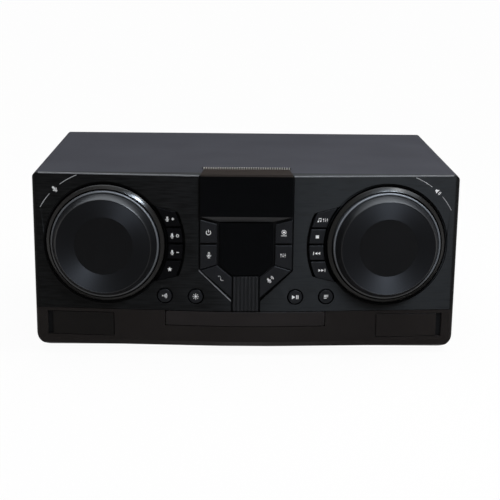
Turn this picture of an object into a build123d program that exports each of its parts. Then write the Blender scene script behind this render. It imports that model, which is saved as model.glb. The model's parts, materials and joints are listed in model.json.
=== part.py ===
from build123d import *
import os
from math import acos, atan, cos, pi, radians, sin, tan

os.makedirs("parts", exist_ok=True)

# Mini hi-fi system, in millimetres. X is to the right seen from the front, Y to the rear, Z up.
# The origin lies on the floor, under the middle of the whole depth.

# Whole cabinet
width = 450.0  # across the front moulding
front_height = 189.6  # fascia and skirt together
cabinet_depth = 280.0  # front corners of the fascia to the rear edge of the cover
foot_height = 6.0  # floor to the underside of the skirt
apex_lead = 15.75  # the V of the front stands this far ahead of its corners
crease_radius = 600.0  # rounding of the V at the middle
top_corner_radius = 7.0
bottom_corner_radius = 16.0
plan_corner_radius = 6.0
moulding_wall = 3.0
sheet = 1.0
fit_gap = 0.3  # between neighbouring pieces that don't touch

# Front moulding
seam_height = 42.7  # top of the skirt above its underside
seam_gap = 0.5
rim_depth = 5.0  # part of the front's sides that stays ahead of the cover
rim_step = 1.0  # the front stands this far proud of the cover's sides
tongue_depth = 11.0  # part of the front that slips inside the cover
side_wall = 5.0
cover_drop = 0.6  # top of the cover below the top of the fascia
cover_lift = 8.5  # lower edge of the cover above the skirt's underside
cover_bend = 4.0  # outside radius of the cover's bends
roll_height = 9.0  # height over which the skirt rolls under
roll_setback = 5.0  # underside edge of the skirt behind the front corners

# Knobs, placed along each wing from the crease and above the underside
knob_along = 148.6
knob_height = 115.2
pocket_radius = 66.1
pocket_depth = 1.8
bezel_radius = 63.0
bezel_inner_radius = 58.7
bezel_rise = 5.3
bezel_edge_rise = 1.3
bezel_slope_width = 2.0
bezel_crown = 0.9
knob_radius = 57.2
knob_rise = 17.0
knob_ring_width = 2.4
knob_shoulder_radius = 53.3
knob_shoulder_drop = 4.0
knob_rim_radius = 49.8
knob_disc_radius = 30.8
knob_dish = 2.6  # depth of the flat disc below the rim
knob_floor_gap = 0.5
shaft_radius = 3.0
shaft_play = 0.05
shaft_length = 9.0

# Boards behind the front
board_depth = 12.0  # behind the surface they serve
board_thickness = 1.6
board_margin = 8.0  # inside the moulding's side walls
board_seam_gap = 4.3  # above the seam
board_top_gap = 1.6
board_edge = 3.0
encoder_size = 13.0
bushing_size = 9.0

# Keys beside each knob
column_inner_radius = 66.9
column_outer_radius = 84.6
column_top = 150.0  # outer end of the slanted top edge
column_bottom = 81.2
column_slant = 0.26  # slope of the slanted top and bottom edges
column_splits = (98.8, 116.5, 134.0)
column_split_gap = 2.4
column_outer_gap = 2.8
key_gap = 0.5
key_rise = 0.8
key_travel = 0.8
key_depth = 4.2  # cap behind the surface
key_stem = 3.4
switch_size = 6.0
switch_height = 3.2
switch_guide = 5.5  # square socket round the stem's end, from the board

# Round keys
round_key_height = 59.2
round_key_along = (53.0, 86.0)
round_key_radius = 7.3
round_hole_radius = 8.7

# Centre console
console_lead = 15.0  # key faces ahead of the front corners
console_half = 48.2
console_gap = 1.6
console_floor = 4.0  # recess behind the key faces
console_plate = 2.5
console_border = 8.0  # frame left beside the display module
console_key_inner = 30.8
console_key_split = 117.3
console_key_top = 143.2  # outer end of the slanted top edge
console_key_top_inner = 138.6
console_elbow = 89.6  # where the sides turn into the diagonals
console_elbow_inner = 94.9
console_foot = 58.8  # lower end of the diagonals
console_key_gap = 1.1
window_half = 28.3
window_top = 140.0
window_bottom = 81.9
window_bevel = 4.4
window_bevel_depth = 1.6
window_sink = 0.6
rib_pitch = 4.03
rib_count = 7
rib_groove = 1.5
rib_foot = 43.6
rib_rise = 1.6
display_bottom = 147.0
display_proud = 2.5
module_inset = 6.0
lip_bottom = 140.5
lip_half = 27.6
crown_over = 2.4  # front edge of the crown above the fascia
crown_slope = 2.4  # rise towards its rear edge
crown_depth = 19.0
crown_taper = 3.8

# Disc tray
door_half = 85.0
door_top = 42.3
door_bottom = 26.6
door_gap = 0.6
door_wall = 3.0
tray_half = 66.0
tray_low = 30.0
tray_high = 39.4
tray_floor = 3.6
tray_travel = 130.0
tray_kept = 30.0  # part of the tray that stays in the loader when it is out
disc_well_radius = 60.5
disc_centre = 62.0  # behind the front corners
slot_half = 18.0
tongue_reach = 3.0
tongue_thickness = 2.5
rail_play = 0.3
gear_module = 2.0
gear_teeth = 14
gear_backlash = 0.2
gear_along = 45.5
gear_behind = 14.0
gear_face = 3.4
gear_post_radius = 2.0
loader_floor = 12.0
loader_plate = 2.5
loader_overrun = 16.0  # loader behind the closed tray
loader_wall = 3.0
turntable_radius = 14.0
hub_radius = 7.4
spindle_radius = 1.5
motor_half = 11.0
sled_travel = 34.0
sled_length = 26.0
sled_half = 26.0
sled_bar_height = 8.0
bar_size = 3.0
bar_spacing = 44.0
lens_radius = 4.0
lens_setback = 9.0
bridge_width = 24.0
bridge_boss_radius = 20.0
bridge_plate = 2.0

# Port doors in the skirt, placed along each wing
port_margin = 18.4  # outer end of each door inside the front's side
port_length = 65.6
notch_length = 5.4  # finger notch beside each door
notch_corner = 3.0
port_top = 38.6
port_bottom = 13.5
port_wall = 2.4
port_gap = 0.6
port_corner = 1.5
port_pin_radius = 0.7
port_pin_play = 0.06
port_pin_inset = 1.4
port_pin_length = 2.0
port_depth = 14.0
port_spacing = 28.0
jack_radius = 3.25
jack_depth = 12.0
usb_width = 12.5
usb_height = 5.1

# Base pan, main board and transformer
pan_play = 2.0  # underside of the skirt to the pan's floor
pan_flange = 14.0
standoff_height = 8.0
standoff_size = 6.0
main_board_margin = 22.7  # inside the pan's side
main_board_width = 108.0
main_board_setback = 70.0  # behind the front corners
main_board_depth = 170.0
component_height = 22.0
sink_length = 90.0
sink_height = 62.0
sink_plate = 6.0
sink_fins = 7
fin_depth = 34.0
fin_thickness = 2.0
sink_setback = 120.0  # behind the main board's front edge
core_width = 84.0
core_depth = 36.0
core_height = 70.0
winding_width = 54.0
winding_depth = 64.0
winding_height = 42.0
core_foot = 8.0
core_foot_thickness = 3.0
core_margin = 72.7  # middle of the core inside the pan's side
core_setback = 150.0
pan_vents = 6
pan_vent_width = 5.0
pan_vent_length = 60.0

# Vents in the cover's sides
side_vents = 12
side_vent_width = 4.0
side_vent_height = 60.0
side_vent_pitch = 9.0

# Feet
foot_margin = 42.0  # middle of a foot inside the front's side
foot_setback = 46.0
foot_rear_margin = 38.0
foot_length = 36.0
foot_width = 22.0
foot_draft = 8.0

# Rear
rear_inset = 1.5
jack_reach = 8.0  # what stands out behind the cover's rear edge
rear_vents = 10
rear_vent_width = 5.0
rear_vent_height = 44.0
rear_vent_pitch = 12.0
rear_vent_level = 130.0
socket_level = 60.0
socket_margin = 72.7  # middle of the speaker sockets inside the pan's side
socket_width = 14.0
socket_height = 12.0
socket_depth = 9.0
socket_spacing = 22.0
signal_shift = 88.0  # from the speaker sockets
signal_spacing = 18.0
signal_radius = 4.2
signal_bore = 1.65
signal_depth = 7.0
inlet_width = 17.0
inlet_height = 9.0
inlet_depth = 15.0
inlet_level = 40.0
inlet_margin = 50.7
inlet_pin = 1.6
inlet_pin_length = 9.0
inlet_pin_spacing = 8.0
plate_thickness = 2.0
plate_border = 9.0  # plate beyond the sockets on it
plate_lap = 3.0  # plate over the edge of its opening

# Places worked out from the driving dimensions
wing_angle = atan(apex_lead / (width / 2))
front_reach = apex_lead - (knob_along - knob_rim_radius) * sin(wing_angle) + knob_rise * cos(wing_angle)
front_y = (front_reach - cabinet_depth - jack_reach) / 2
apex_y = front_y - apex_lead
case_z = foot_height
front_top = case_z + front_height
seam_z = case_z + seam_height
rim_y = front_y + rim_depth
tongue_y = rim_y + tongue_depth
rear_y = front_y + cabinet_depth
panel_y = rear_y - rear_inset
tray_reach = tray_travel + tray_kept
loader_depth = tray_reach + loader_overrun
foot_along = width / 2 - foot_margin
foot_front_y = front_y + foot_setback
foot_back_y = rear_y - foot_rear_margin
port_outer = width / 2 - port_margin
port_inner = port_outer - port_length
notch_outer = port_outer + notch_length
cover_half = width / 2 - rim_step
pan_half = cover_half - sheet - fit_gap
cover_top = front_top - cover_drop
tongue_inset = rim_step + sheet + fit_gap
console_y = front_y - console_lead
console_floor_y = console_y + console_floor
console_back_y = console_floor_y + console_plate
floor_z = case_z + pan_play
tray_z0 = case_z + tray_low
tray_z1 = case_z + tray_high
disc_y = front_y + disc_centre
loader_z = case_z + loader_floor + loader_plate


def save(piece, label):
    piece.part.label = label
    export_step(piece.part, f"parts/{label}.step")


def block(x_low, x_high, y_low, y_high, z_low, z_high, mode=Mode.ADD):
    """A box between two corners."""
    with Locations(((x_low + x_high) / 2, (y_low + y_high) / 2, (z_low + z_high) / 2)):
        Box(x_high - x_low, y_high - y_low, z_high - z_low, mode=mode)


def plan_outline(front_inset, side_inset, back_y, roll=0.0):
    """The front seen from above: two wings that meet in a rounded crease. A roll of 1 is a straight front."""
    half = width / 2 - side_inset
    bend = (crease_radius - front_inset) * sin(wing_angle)
    straight_y = front_y + roll_setback

    def rolled(y):
        return y + (straight_y - y) * roll

    def wing(x):
        return rolled(apex_y + x * tan(wing_angle) + front_inset / cos(wing_angle))

    crease = rolled(apex_y + crease_radius * (1 / cos(wing_angle) - 1) + front_inset)
    with BuildSketch(Plane.XY) as outline:
        with BuildLine():
            Polyline(
                (-bend, wing(bend)),
                (-half, wing(half)),
                (-half, back_y),
                (half, back_y),
                (half, wing(half)),
                (bend, wing(bend)),
            )
            ThreePointArc((bend, wing(bend)), (0, crease), (-bend, wing(bend)))
        make_face()
        corners = vertices().filter_by(lambda v: abs(v.X) > half - 0.01 and v.Y < wing(half) + 0.01)
        fillet(corners, plan_corner_radius)
    return outline.sketch


def front_block(z_low, z_high, front_inset, side_inset, back_y, mode=Mode.ADD):
    outline = Pos(0, 0, z_low) * plan_outline(front_inset, side_inset, back_y)
    extrude(outline, amount=z_high - z_low, dir=(0, 0, 1), mode=mode)


def face_outline(inset):
    """The whole front seen from ahead, with its rounded corners."""
    with BuildSketch(Plane.XY) as outline:
        with Locations((0, case_z + front_height / 2)):
            Rectangle(width - 2 * inset, front_height - 2 * inset)
        fillet(vertices().group_by(Axis.Y)[-1], top_corner_radius - inset)
        fillet(vertices().group_by(Axis.Y)[0], bottom_corner_radius - inset)
    return outline.sketch


def trim_to_face():
    """Rounds the corners of the front and steps its rear part in, to slip inside the cover."""
    extrude(Plane.XZ * face_outline(0), amount=cabinet_depth, both=True, mode=Mode.INTERSECT)
    with BuildSketch(Plane.XZ.offset(-rim_y)) as surround:
        with Locations((0, case_z + front_height / 2)):
            Rectangle(2 * width, 2 * front_height)
        add(face_outline(tongue_inset), mode=Mode.SUBTRACT)
    extrude(surround.sketch, amount=2 * tongue_depth, dir=(0, 1, 0), mode=Mode.SUBTRACT)


def wing_plane(side, proud=0.0):
    """Plane of one wing of the front: its X runs to the right, its Y up, its Z out of the face."""
    normal = Vector(side * sin(wing_angle), -cos(wing_angle), 0)
    across = Vector(cos(wing_angle), side * sin(wing_angle), 0)
    return Plane(origin=Vector(0, apex_y, 0) + normal * proud, x_dir=across, z_dir=normal)


def wing_axis(side):
    return Axis((0, 0, 0), wing_plane(side).z_dir)


def knob_profile_plane(side):
    """Plane through a knob's axis: its X is the radius and its Y the height above the wing."""
    face = wing_plane(side)
    centre = face.from_local_coords(Vector(side * knob_along, case_z + knob_height, 0))
    return Plane(origin=centre, x_dir=face.x_dir, z_dir=face.x_dir.cross(face.z_dir))


def knob_axis(side):
    plane = knob_profile_plane(side)
    return Axis(plane.origin, plane.y_dir)


def port_pin_centre(side):
    """Where the hinge pins of a port door stand, seen from above."""
    along = side * (port_inner + port_pin_inset)
    centre = wing_plane(side).from_local_coords(Vector(along, 0, -port_wall / 2))
    return (centre.X, centre.Y)


def column_band(z_low, z_high, outer_inset, edge_inset, side, inner_radius):
    """Part of the crescent of keys beside a knob, between two heights. None means the slanted end."""
    corner_along = knob_along - column_outer_radius + 7.5
    near, far = corner_along - 12.0, knob_along

    def top(along):
        if z_high is None:
            return case_z + column_top - edge_inset + column_slant * (along - corner_along)
        return case_z + z_high

    def bottom(along):
        if z_low is None:
            return case_z + column_bottom + edge_inset - column_slant * (along - corner_along)
        return case_z + z_low

    with Locations((side * knob_along, case_z + knob_height)):
        Circle(column_outer_radius - outer_inset)
        Circle(inner_radius, mode=Mode.SUBTRACT)
    Polygon(
        (side * near, bottom(near)),
        (side * far, bottom(far)),
        (side * far, top(far)),
        (side * near, top(near)),
        mode=Mode.INTERSECT,
    )


def column_bands():
    """Heights of the four keys of a column, from the top one down."""
    half_gap = column_split_gap / 2
    low, middle, high = column_splits
    return [
        (high + half_gap, None),
        (middle + half_gap, high - half_gap),
        (low + half_gap, middle - half_gap),
        (None, low - half_gap),
    ]


def column_key_height(z_low, z_high):
    """Height of the stem behind a key of a column."""
    ends = [column_bottom + 6.0 if z_low is None else z_low, column_top - 6.0 if z_high is None else z_high]
    return case_z + sum(ends) / 2


def console_opening(grow):
    """Outline of the console seen from ahead, grown by the gap round it and open above the front."""
    side = console_half + grow
    above = front_top + console_half
    foot = rib_pitch * rib_count / 2 + 0.8
    slope = (console_elbow - console_foot) / (console_half - foot)
    diagonal_foot = console_foot - grow * (1 + slope)
    Polygon(
        (-side, above),
        (-side, case_z + console_elbow - grow * 0.4),
        (-foot - grow * 0.4, case_z + diagonal_foot),
        (-foot - grow * 0.4, seam_z - 1),
        (foot + grow * 0.4, seam_z - 1),
        (foot + grow * 0.4, case_z + diagonal_foot),
        (side, case_z + console_elbow - grow * 0.4),
        (side, above),
    )


# Upper fascia: a shell with a pocket for each knob, openings for the keys and a notch for the console
with BuildPart() as front_fascia:
    front_block(seam_z + seam_gap, front_top, 0, 0, tongue_y)
    trim_to_face()
    front_block(seam_z - 1, front_top - side_wall, moulding_wall, side_wall, tongue_y + 1, Mode.SUBTRACT)
    for side in (-1, 1):
        pocket = (side * knob_along, case_z + knob_height)
        with BuildSketch(wing_plane(side, knob_rise)):
            with Locations(pocket):
                Circle(pocket_radius)
        extrude(amount=-knob_rise - pocket_depth, mode=Mode.SUBTRACT)
        with BuildSketch(wing_plane(side)):
            with Locations(pocket):
                Rectangle(bushing_size + 2 * fit_gap, bushing_size + 2 * fit_gap)
            with Locations([(side * u, case_z + round_key_height) for u in round_key_along]):
                Circle(round_hole_radius)
        extrude(amount=2 * moulding_wall, both=True, mode=Mode.SUBTRACT)
        with BuildSketch(wing_plane(side)):
            column_band(None, None, 0, 0, side, bezel_radius + 1.5)
        extrude(amount=2 * moulding_wall, both=True, mode=Mode.SUBTRACT)
    with BuildSketch(Plane.XZ.offset(-console_back_y - fit_gap)):
        console_opening(console_gap)
    extrude(amount=console_lead, mode=Mode.SUBTRACT)
save(front_fascia, "front_fascia")

# Lower skirt: rolls under at its foot and has the tray's mouth and two port openings
with BuildPart() as front_skirt:
    for turn in (90, 45, 0):
        roll = 0.96 * (1 - cos(radians(turn)))
        with BuildSketch(Plane.XY.offset(case_z + roll_height * (1 - sin(radians(turn))))):
            add(plan_outline(0, 0, tongue_y, roll))
    loft(ruled=True)
    front_block(case_z + roll_height, seam_z, 0, 0, tongue_y)
    trim_to_face()
    front_block(case_z + roll_height, seam_z + 1, moulding_wall, side_wall, tongue_y + 1, Mode.SUBTRACT)
    inner_half = width / 2 - bottom_corner_radius
    block(
        -inner_half, inner_half, front_y + roll_setback + moulding_wall, tongue_y + 1,
        case_z + moulding_wall, case_z + roll_height + 1, Mode.SUBTRACT,
    )
    block(
        -door_half - door_gap, door_half + door_gap, apex_y - 5, rim_y + 1,
        case_z + door_bottom - door_gap, seam_z + 1, Mode.SUBTRACT,
    )
    for side in (-1, 1):
        opening_low = port_bottom - port_gap
        opening_high = port_top + port_gap
        opening_in = port_inner - port_gap
        opening_out = notch_outer + port_gap
        with BuildSketch(wing_plane(side)):
            middle_x = side * (opening_in + opening_out) / 2
            middle_z = case_z + (opening_low + opening_high) / 2
            with Locations((middle_x, middle_z)):
                Rectangle(opening_out - opening_in, opening_high - opening_low)
            hinge_side = vertices().sort_by(lambda v: abs(v.X))[:2]
            notch_side = vertices().sort_by(lambda v: abs(v.X))[2:]
            fillet(hinge_side, port_corner)
            fillet(notch_side, notch_corner)
        extrude(amount=1.5 * moulding_wall, both=True, mode=Mode.SUBTRACT)
        pin_hole = port_pin_length + fit_gap
        for z_low in (case_z + opening_low - pin_hole, case_z + opening_high):
            with BuildSketch(Plane.XY.offset(z_low)):
                with Locations(port_pin_centre(side)):
                    Circle(port_pin_radius + port_pin_play)
            extrude(amount=pin_hole, mode=Mode.SUBTRACT)
save(front_skirt, "front_skirt")

# Knob bezels: a ring in each pocket, highest at its inner edge
with BuildPart() as knob_bezels:
    for side in (-1, 1):
        with BuildSketch(knob_profile_plane(side)):
            Polygon(
                (bezel_radius, -pocket_depth),
                (bezel_radius, bezel_edge_rise),
                (bezel_radius - bezel_slope_width, bezel_rise - bezel_crown),
                (bezel_inner_radius, bezel_rise),
                (bezel_inner_radius, -pocket_depth),
            )
        revolve(axis=knob_axis(side))
save(knob_bezels, "knob_bezels")

# Knobs: an edge ring, a rounded side, a dish inside the rim and a flat disc in the middle
knob_base = knob_floor_gap - pocket_depth
for side, name in ((-1, "mic_knob"), (1, "main_knob")):
    with BuildPart() as knob:
        with BuildSketch(knob_profile_plane(side)):
            Polygon(
                (0, knob_base - shaft_length),
                (shaft_radius, knob_base - shaft_length),
                (shaft_radius, knob_base),
                (knob_radius, knob_base),
                (knob_radius, bezel_rise),
                (knob_radius - knob_ring_width, bezel_rise),
                (knob_shoulder_radius, knob_rise - knob_shoulder_drop),
                (knob_rim_radius, knob_rise),
                (knob_disc_radius, knob_rise - knob_dish),
                (0, knob_rise - knob_dish),
            )
        revolve(axis=knob_axis(side))
    save(knob, name)

# Keys beside the knobs: slices of a crescent, each with a stem to its switch
switch_front = switch_height - board_depth
stem_end = switch_front + key_travel + fit_gap
column_stem_along = knob_along - (column_inner_radius + column_outer_radius - column_outer_gap) / 2
for side, name in ((-1, "left"), (1, "right")):
    for number, (z_low, z_high) in enumerate(column_bands(), start=1):
        with BuildPart() as column_key:
            with BuildSketch(wing_plane(side, key_rise)):
                column_band(z_low, z_high, column_outer_gap, key_gap, side, column_inner_radius)
            extrude(amount=-key_rise - key_depth)
            with BuildSketch(wing_plane(side, stem_end)):
                with Locations((side * column_stem_along, column_key_height(z_low, z_high))):
                    Rectangle(key_stem, key_stem)
            extrude(amount=-key_depth - stem_end)
        save(column_key, f"{name}_key_{number}")

# Round keys under the console
round_key_names = {-1: ("light_key", "wireless_key"), 1: ("play_key", "function_key")}
for side, names in round_key_names.items():
    for along, name in zip(round_key_along, names):
        with BuildPart() as round_key:
            with BuildSketch(wing_plane(side, key_rise)):
                with Locations((side * along, case_z + round_key_height)):
                    Circle(round_key_radius)
            extrude(amount=-key_rise - key_depth)
            with BuildSketch(wing_plane(side, stem_end)):
                with Locations((side * along, case_z + round_key_height)):
                    Rectangle(key_stem, key_stem)
            extrude(amount=-key_depth - stem_end)
        save(round_key, name)


def console_key_outlines():
    """Corners of the left keys of the console seen from ahead, by name; the right ones mirror them."""
    outer = console_half
    inner = console_key_inner
    half_split = column_split_gap / 2
    foot = rib_pitch * rib_count / 2 + 0.8
    rise = (console_elbow_inner - console_elbow) / (outer - inner)
    return {
        "upper": [
            (outer, console_key_split + half_split),
            (inner, console_key_split + half_split),
            (inner, console_key_top_inner),
            (outer, console_key_top),
        ],
        "lower": [
            (outer, console_elbow),
            (inner, console_elbow_inner),
            (inner, console_key_split - half_split),
            (outer, console_key_split - half_split),
        ],
        "diagonal": [
            (outer - 0.6, console_elbow - console_key_gap),
            (inner - 0.4, console_elbow_inner - console_key_gap + 0.4 * rise),
            (foot, window_bottom - console_key_gap),
            (foot, console_foot),
        ],
    }


console_key_names = {
    -1: {"upper": "power_key", "lower": "mic_key", "diagonal": "bass_key"},
    1: {"upper": "record_key", "lower": "tone_key", "diagonal": "vocal_key"},
}


def middle_of(points):
    return [sum(values) / len(points) for values in zip(*points)]


# Console frame: the recessed floor behind the console's keys, with a window for the display
with BuildPart() as console_frame:
    with BuildSketch(Plane.XZ.offset(-console_floor_y)):
        console_opening(console_gap - fit_gap)
        with Locations((0, seam_z + seam_gap + front_height)):
            Rectangle(width, 2 * front_height, mode=Mode.INTERSECT)
        with Locations((0, front_top - front_height)):
            Rectangle(width, 2 * (front_height - fit_gap), mode=Mode.INTERSECT)
        with Locations((0, case_z + (display_bottom + front_height) / 2)):
            Rectangle(
                2 * (console_half - console_border),
                front_height - display_bottom - 2 * module_inset,
                mode=Mode.SUBTRACT,
            )
        for side in (-1, 1):
            for corners in console_key_outlines().values():
                x, z = middle_of(corners)
                with Locations((side * x, case_z + z)):
                    Rectangle(key_stem + 1, key_stem + 1, mode=Mode.SUBTRACT)
    extrude(amount=-console_plate)
save(console_frame, "console_frame")

# Console keys
console_stem_y = console_y + board_depth - switch_height - key_travel - fit_gap
for side, names in console_key_names.items():
    for place, corners in console_key_outlines().items():
        x, z = middle_of(corners)
        with BuildPart() as console_key:
            with BuildSketch(Plane.XZ.offset(-console_y)):
                Polygon(*[(side * px, case_z + pz) for px, pz in corners])
            extrude(amount=-console_floor + key_travel + fit_gap)
            chamfer(console_key.faces().sort_by(Axis.Y)[0].edges(), 0.4)
            with BuildSketch(Plane.XZ.offset(-console_y - 1)):
                with Locations((side * x, case_z + z)):
                    Rectangle(key_stem, key_stem)
            extrude(amount=console_y + 1 - console_stem_y)
        save(console_key, names[place])

# Window between the console's keys, bevelled to a smaller face on all sides but its top
with BuildPart() as centre_window:
    cut = window_half - rib_pitch * rib_count / 2
    slanted_inset = window_bevel * 0.8

    def window_outline(side_inset, foot_inset):
        half = window_half - side_inset
        low = case_z + window_bottom + foot_inset
        elbow = case_z + console_elbow_inner + (foot_inset - side_inset) * 0.4
        Polygon(
            (-half, case_z + window_top),
            (-half, elbow),
            (-window_half + cut, low),
            (window_half - cut, low),
            (half, elbow),
            (half, case_z + window_top),
        )

    bevel_y = console_y + window_sink + window_bevel_depth
    with BuildSketch(Plane.XZ.offset(-bevel_y)):
        window_outline(0, 0)
    extrude(amount=bevel_y - console_floor_y)
    with BuildSketch(Plane.XZ.offset(-bevel_y)):
        window_outline(0, 0)
    with BuildSketch(Plane.XZ.offset(window_bevel_depth - bevel_y)):
        window_outline(window_bevel, slanted_inset)
    loft(ruled=True)
save(centre_window, "centre_window")

# Ribbed band between the diagonal keys, running down to the seam
with BuildPart() as rib_band:
    rib_bottom = case_z + rib_foot
    rib_top = case_z + window_bottom - 0.4
    rib_half = rib_pitch * (rib_count - 1) / 2
    rib_width = rib_pitch - rib_groove
    with BuildSketch(Plane.XY.offset(rib_bottom)):
        with Locations((0, (console_y + rib_rise + console_floor_y) / 2)):
            Rectangle(2 * rib_half + rib_width, console_floor - rib_rise)
        for number in range(rib_count):
            rib_x = number * rib_pitch - rib_half
            Polygon(
                (rib_x - rib_width / 2, console_y + rib_rise),
                (rib_x - rib_width / 3, console_y),
                (rib_x + rib_width / 3, console_y),
                (rib_x + rib_width / 2, console_y + rib_rise),
            )
    extrude(amount=rib_top - rib_bottom)
save(rib_band, "rib_band")

# Display window: a glossy block ahead of the console
with BuildPart() as display_window:
    block(
        -console_half, console_half, console_y - display_proud, console_floor_y,
        case_z + display_bottom, front_top,
    )
save(display_window, "display_window")

# Lip under the display window, narrowing downwards as it slopes back
with BuildPart() as display_lip:
    with BuildSketch(Plane.XZ.offset(-console_floor_y)):
        Polygon(
            (-console_half, case_z + display_bottom),
            (-lip_half, case_z + lip_bottom),
            (lip_half, case_z + lip_bottom),
            (console_half, case_z + display_bottom),
        )
    extrude(amount=console_floor + display_proud)
    with BuildSketch(Plane.YZ):
        Polygon(
            (console_y - display_proud, case_z + display_bottom),
            (console_y - display_proud - 5, case_z + display_bottom),
            (console_y - display_proud - 5, case_z + lip_bottom - 5),
            (console_floor_y - 1, case_z + lip_bottom - 5),
            (console_floor_y - 1, case_z + lip_bottom),
        )
    extrude(amount=width, both=True, mode=Mode.SUBTRACT)
save(display_lip, "display_lip")

# Crown: carries the display's gloss over the top edge
with BuildPart() as display_crown:
    crown_front_y = console_y - display_proud
    crown_back_y = crown_front_y + crown_depth
    with BuildSketch(Plane.YZ):
        Polygon(
            (crown_front_y, front_top),
            (crown_back_y, front_top),
            (crown_back_y, front_top + crown_over + crown_slope),
            (crown_front_y, front_top + crown_over),
        )
    extrude(amount=console_half, both=True)
    with BuildSketch(Plane.XY.offset(front_top)):
        Polygon(
            (-console_half, crown_front_y),
            (-console_half + crown_taper, crown_back_y),
            (console_half - crown_taper, crown_back_y),
            (console_half, crown_front_y),
        )
    extrude(amount=crown_depth, mode=Mode.INTERSECT)
save(display_crown, "display_crown")

# Tray door: a slice of the front's own V
with BuildPart() as tray_door:
    with BuildSketch(Plane.XY.offset(case_z + door_bottom)):
        add(plan_outline(0, 0, tongue_y))
        add(plan_outline(door_wall, side_wall, tongue_y + 1), mode=Mode.SUBTRACT)
    extrude(amount=door_top - door_bottom)
    with BuildSketch(Plane.XZ):
        with Locations((0, case_z + (door_top + door_bottom) / 2)):
            RectangleRounded(2 * door_half, door_top - door_bottom, 2.0)
    extrude(amount=cabinet_depth, both=True, mode=Mode.INTERSECT)
save(tray_door, "tray_door")


def rack_tooth(along_y, pitch_x):
    """One tooth of the tray's rack, pointing towards the gear."""
    half = pi * gear_module / 4 - gear_backlash / 4
    tip = half - gear_module * tan(radians(20))
    root = half + 1.25 * gear_module * tan(radians(20))
    Polygon(
        (pitch_x + 1.25 * gear_module, along_y - root),
        (pitch_x + 1.25 * gear_module, along_y + root),
        (pitch_x - gear_module, along_y + tip),
        (pitch_x - gear_module, along_y - tip),
    )


# Disc tray: a shallow well for the disc, a slot for the turntable, side tongues and a rack
gear_radius = gear_module * gear_teeth / 2
rack_x = gear_along + gear_radius
gear_y = front_y + gear_behind
tray_back_y = front_y + tray_reach
tongue_z = (tray_z0 + tray_z1) / 2
with BuildPart() as disc_tray:
    with BuildSketch(Plane.XY.offset(tray_z0)):
        add(plan_outline(door_wall, side_wall, tray_back_y))
        with Locations((0, front_y)):
            Rectangle(2 * tray_half, 2 * cabinet_depth, mode=Mode.INTERSECT)
    extrude(amount=tray_z1 - tray_z0)
    with BuildSketch(Plane.XY.offset(tray_z0 + tray_floor)):
        with Locations((0, disc_y)):
            Circle(disc_well_radius)
    extrude(amount=tray_z1, mode=Mode.SUBTRACT)
    block(-slot_half, slot_half, disc_y - slot_half, tray_back_y, tray_z0, tray_z1, Mode.SUBTRACT)
    tongue_front_y = front_y + 6
    for side in (-1, 1):
        x_low, x_high = sorted((side * (tray_half - 1), side * (tray_half + tongue_reach)))
        block(
            x_low, x_high, tongue_front_y, tray_back_y,
            tongue_z - tongue_thickness / 2, tongue_z + tongue_thickness / 2,
        )
    rack_teeth = int((tray_reach - gear_behind) / (pi * gear_module))
    with BuildSketch(Plane.XY.offset(tray_z0 - gear_face)):
        with Locations(((rack_x + 1.25 * gear_module + tray_half) / 2, (gear_y - 6 + tray_back_y) / 2)):
            Rectangle(tray_half - rack_x - 1.25 * gear_module, tray_back_y - gear_y + 6)
        for number in range(-1, rack_teeth):
            rack_tooth(gear_y + (number + 0.5) * pi * gear_module, rack_x)
    extrude(amount=gear_face)
save(disc_tray, "disc_tray")

# Tray gear: involute teeth in mesh with the rack
with BuildPart() as tray_gear:
    pressure = radians(20)
    base_radius = gear_radius * cos(pressure)
    root_radius = gear_radius - 1.25 * gear_module
    tip_radius = gear_radius + gear_module

    def flank_angle(radius):
        """Half the angle of a tooth at a radius."""
        turn = acos(min(1.0, base_radius / radius))
        at_pitch = pi / (2 * gear_teeth) - gear_backlash / (4 * gear_radius)
        return at_pitch + (tan(pressure) - pressure) - (tan(turn) - turn)

    def tooth_point(radius, side):
        angle = side * flank_angle(max(radius, base_radius))
        return (radius * cos(angle), radius * sin(angle))

    levels = (root_radius, base_radius, gear_radius, tip_radius)
    flank = [tooth_point(radius, -1) for radius in levels]
    flank += [tooth_point(radius, 1) for radius in reversed(levels)]
    with BuildSketch(Plane.XY.offset(tray_z0 - gear_face)):
        with Locations((gear_along, gear_y)):
            RegularPolygon(root_radius, 2 * gear_teeth, rotation=90 / gear_teeth)
            with PolarLocations(0, gear_teeth):
                Polygon(*flank)
            Circle(gear_post_radius + shaft_play, mode=Mode.SUBTRACT)
    extrude(amount=gear_face - fit_gap)
save(tray_gear, "tray_gear")

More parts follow.
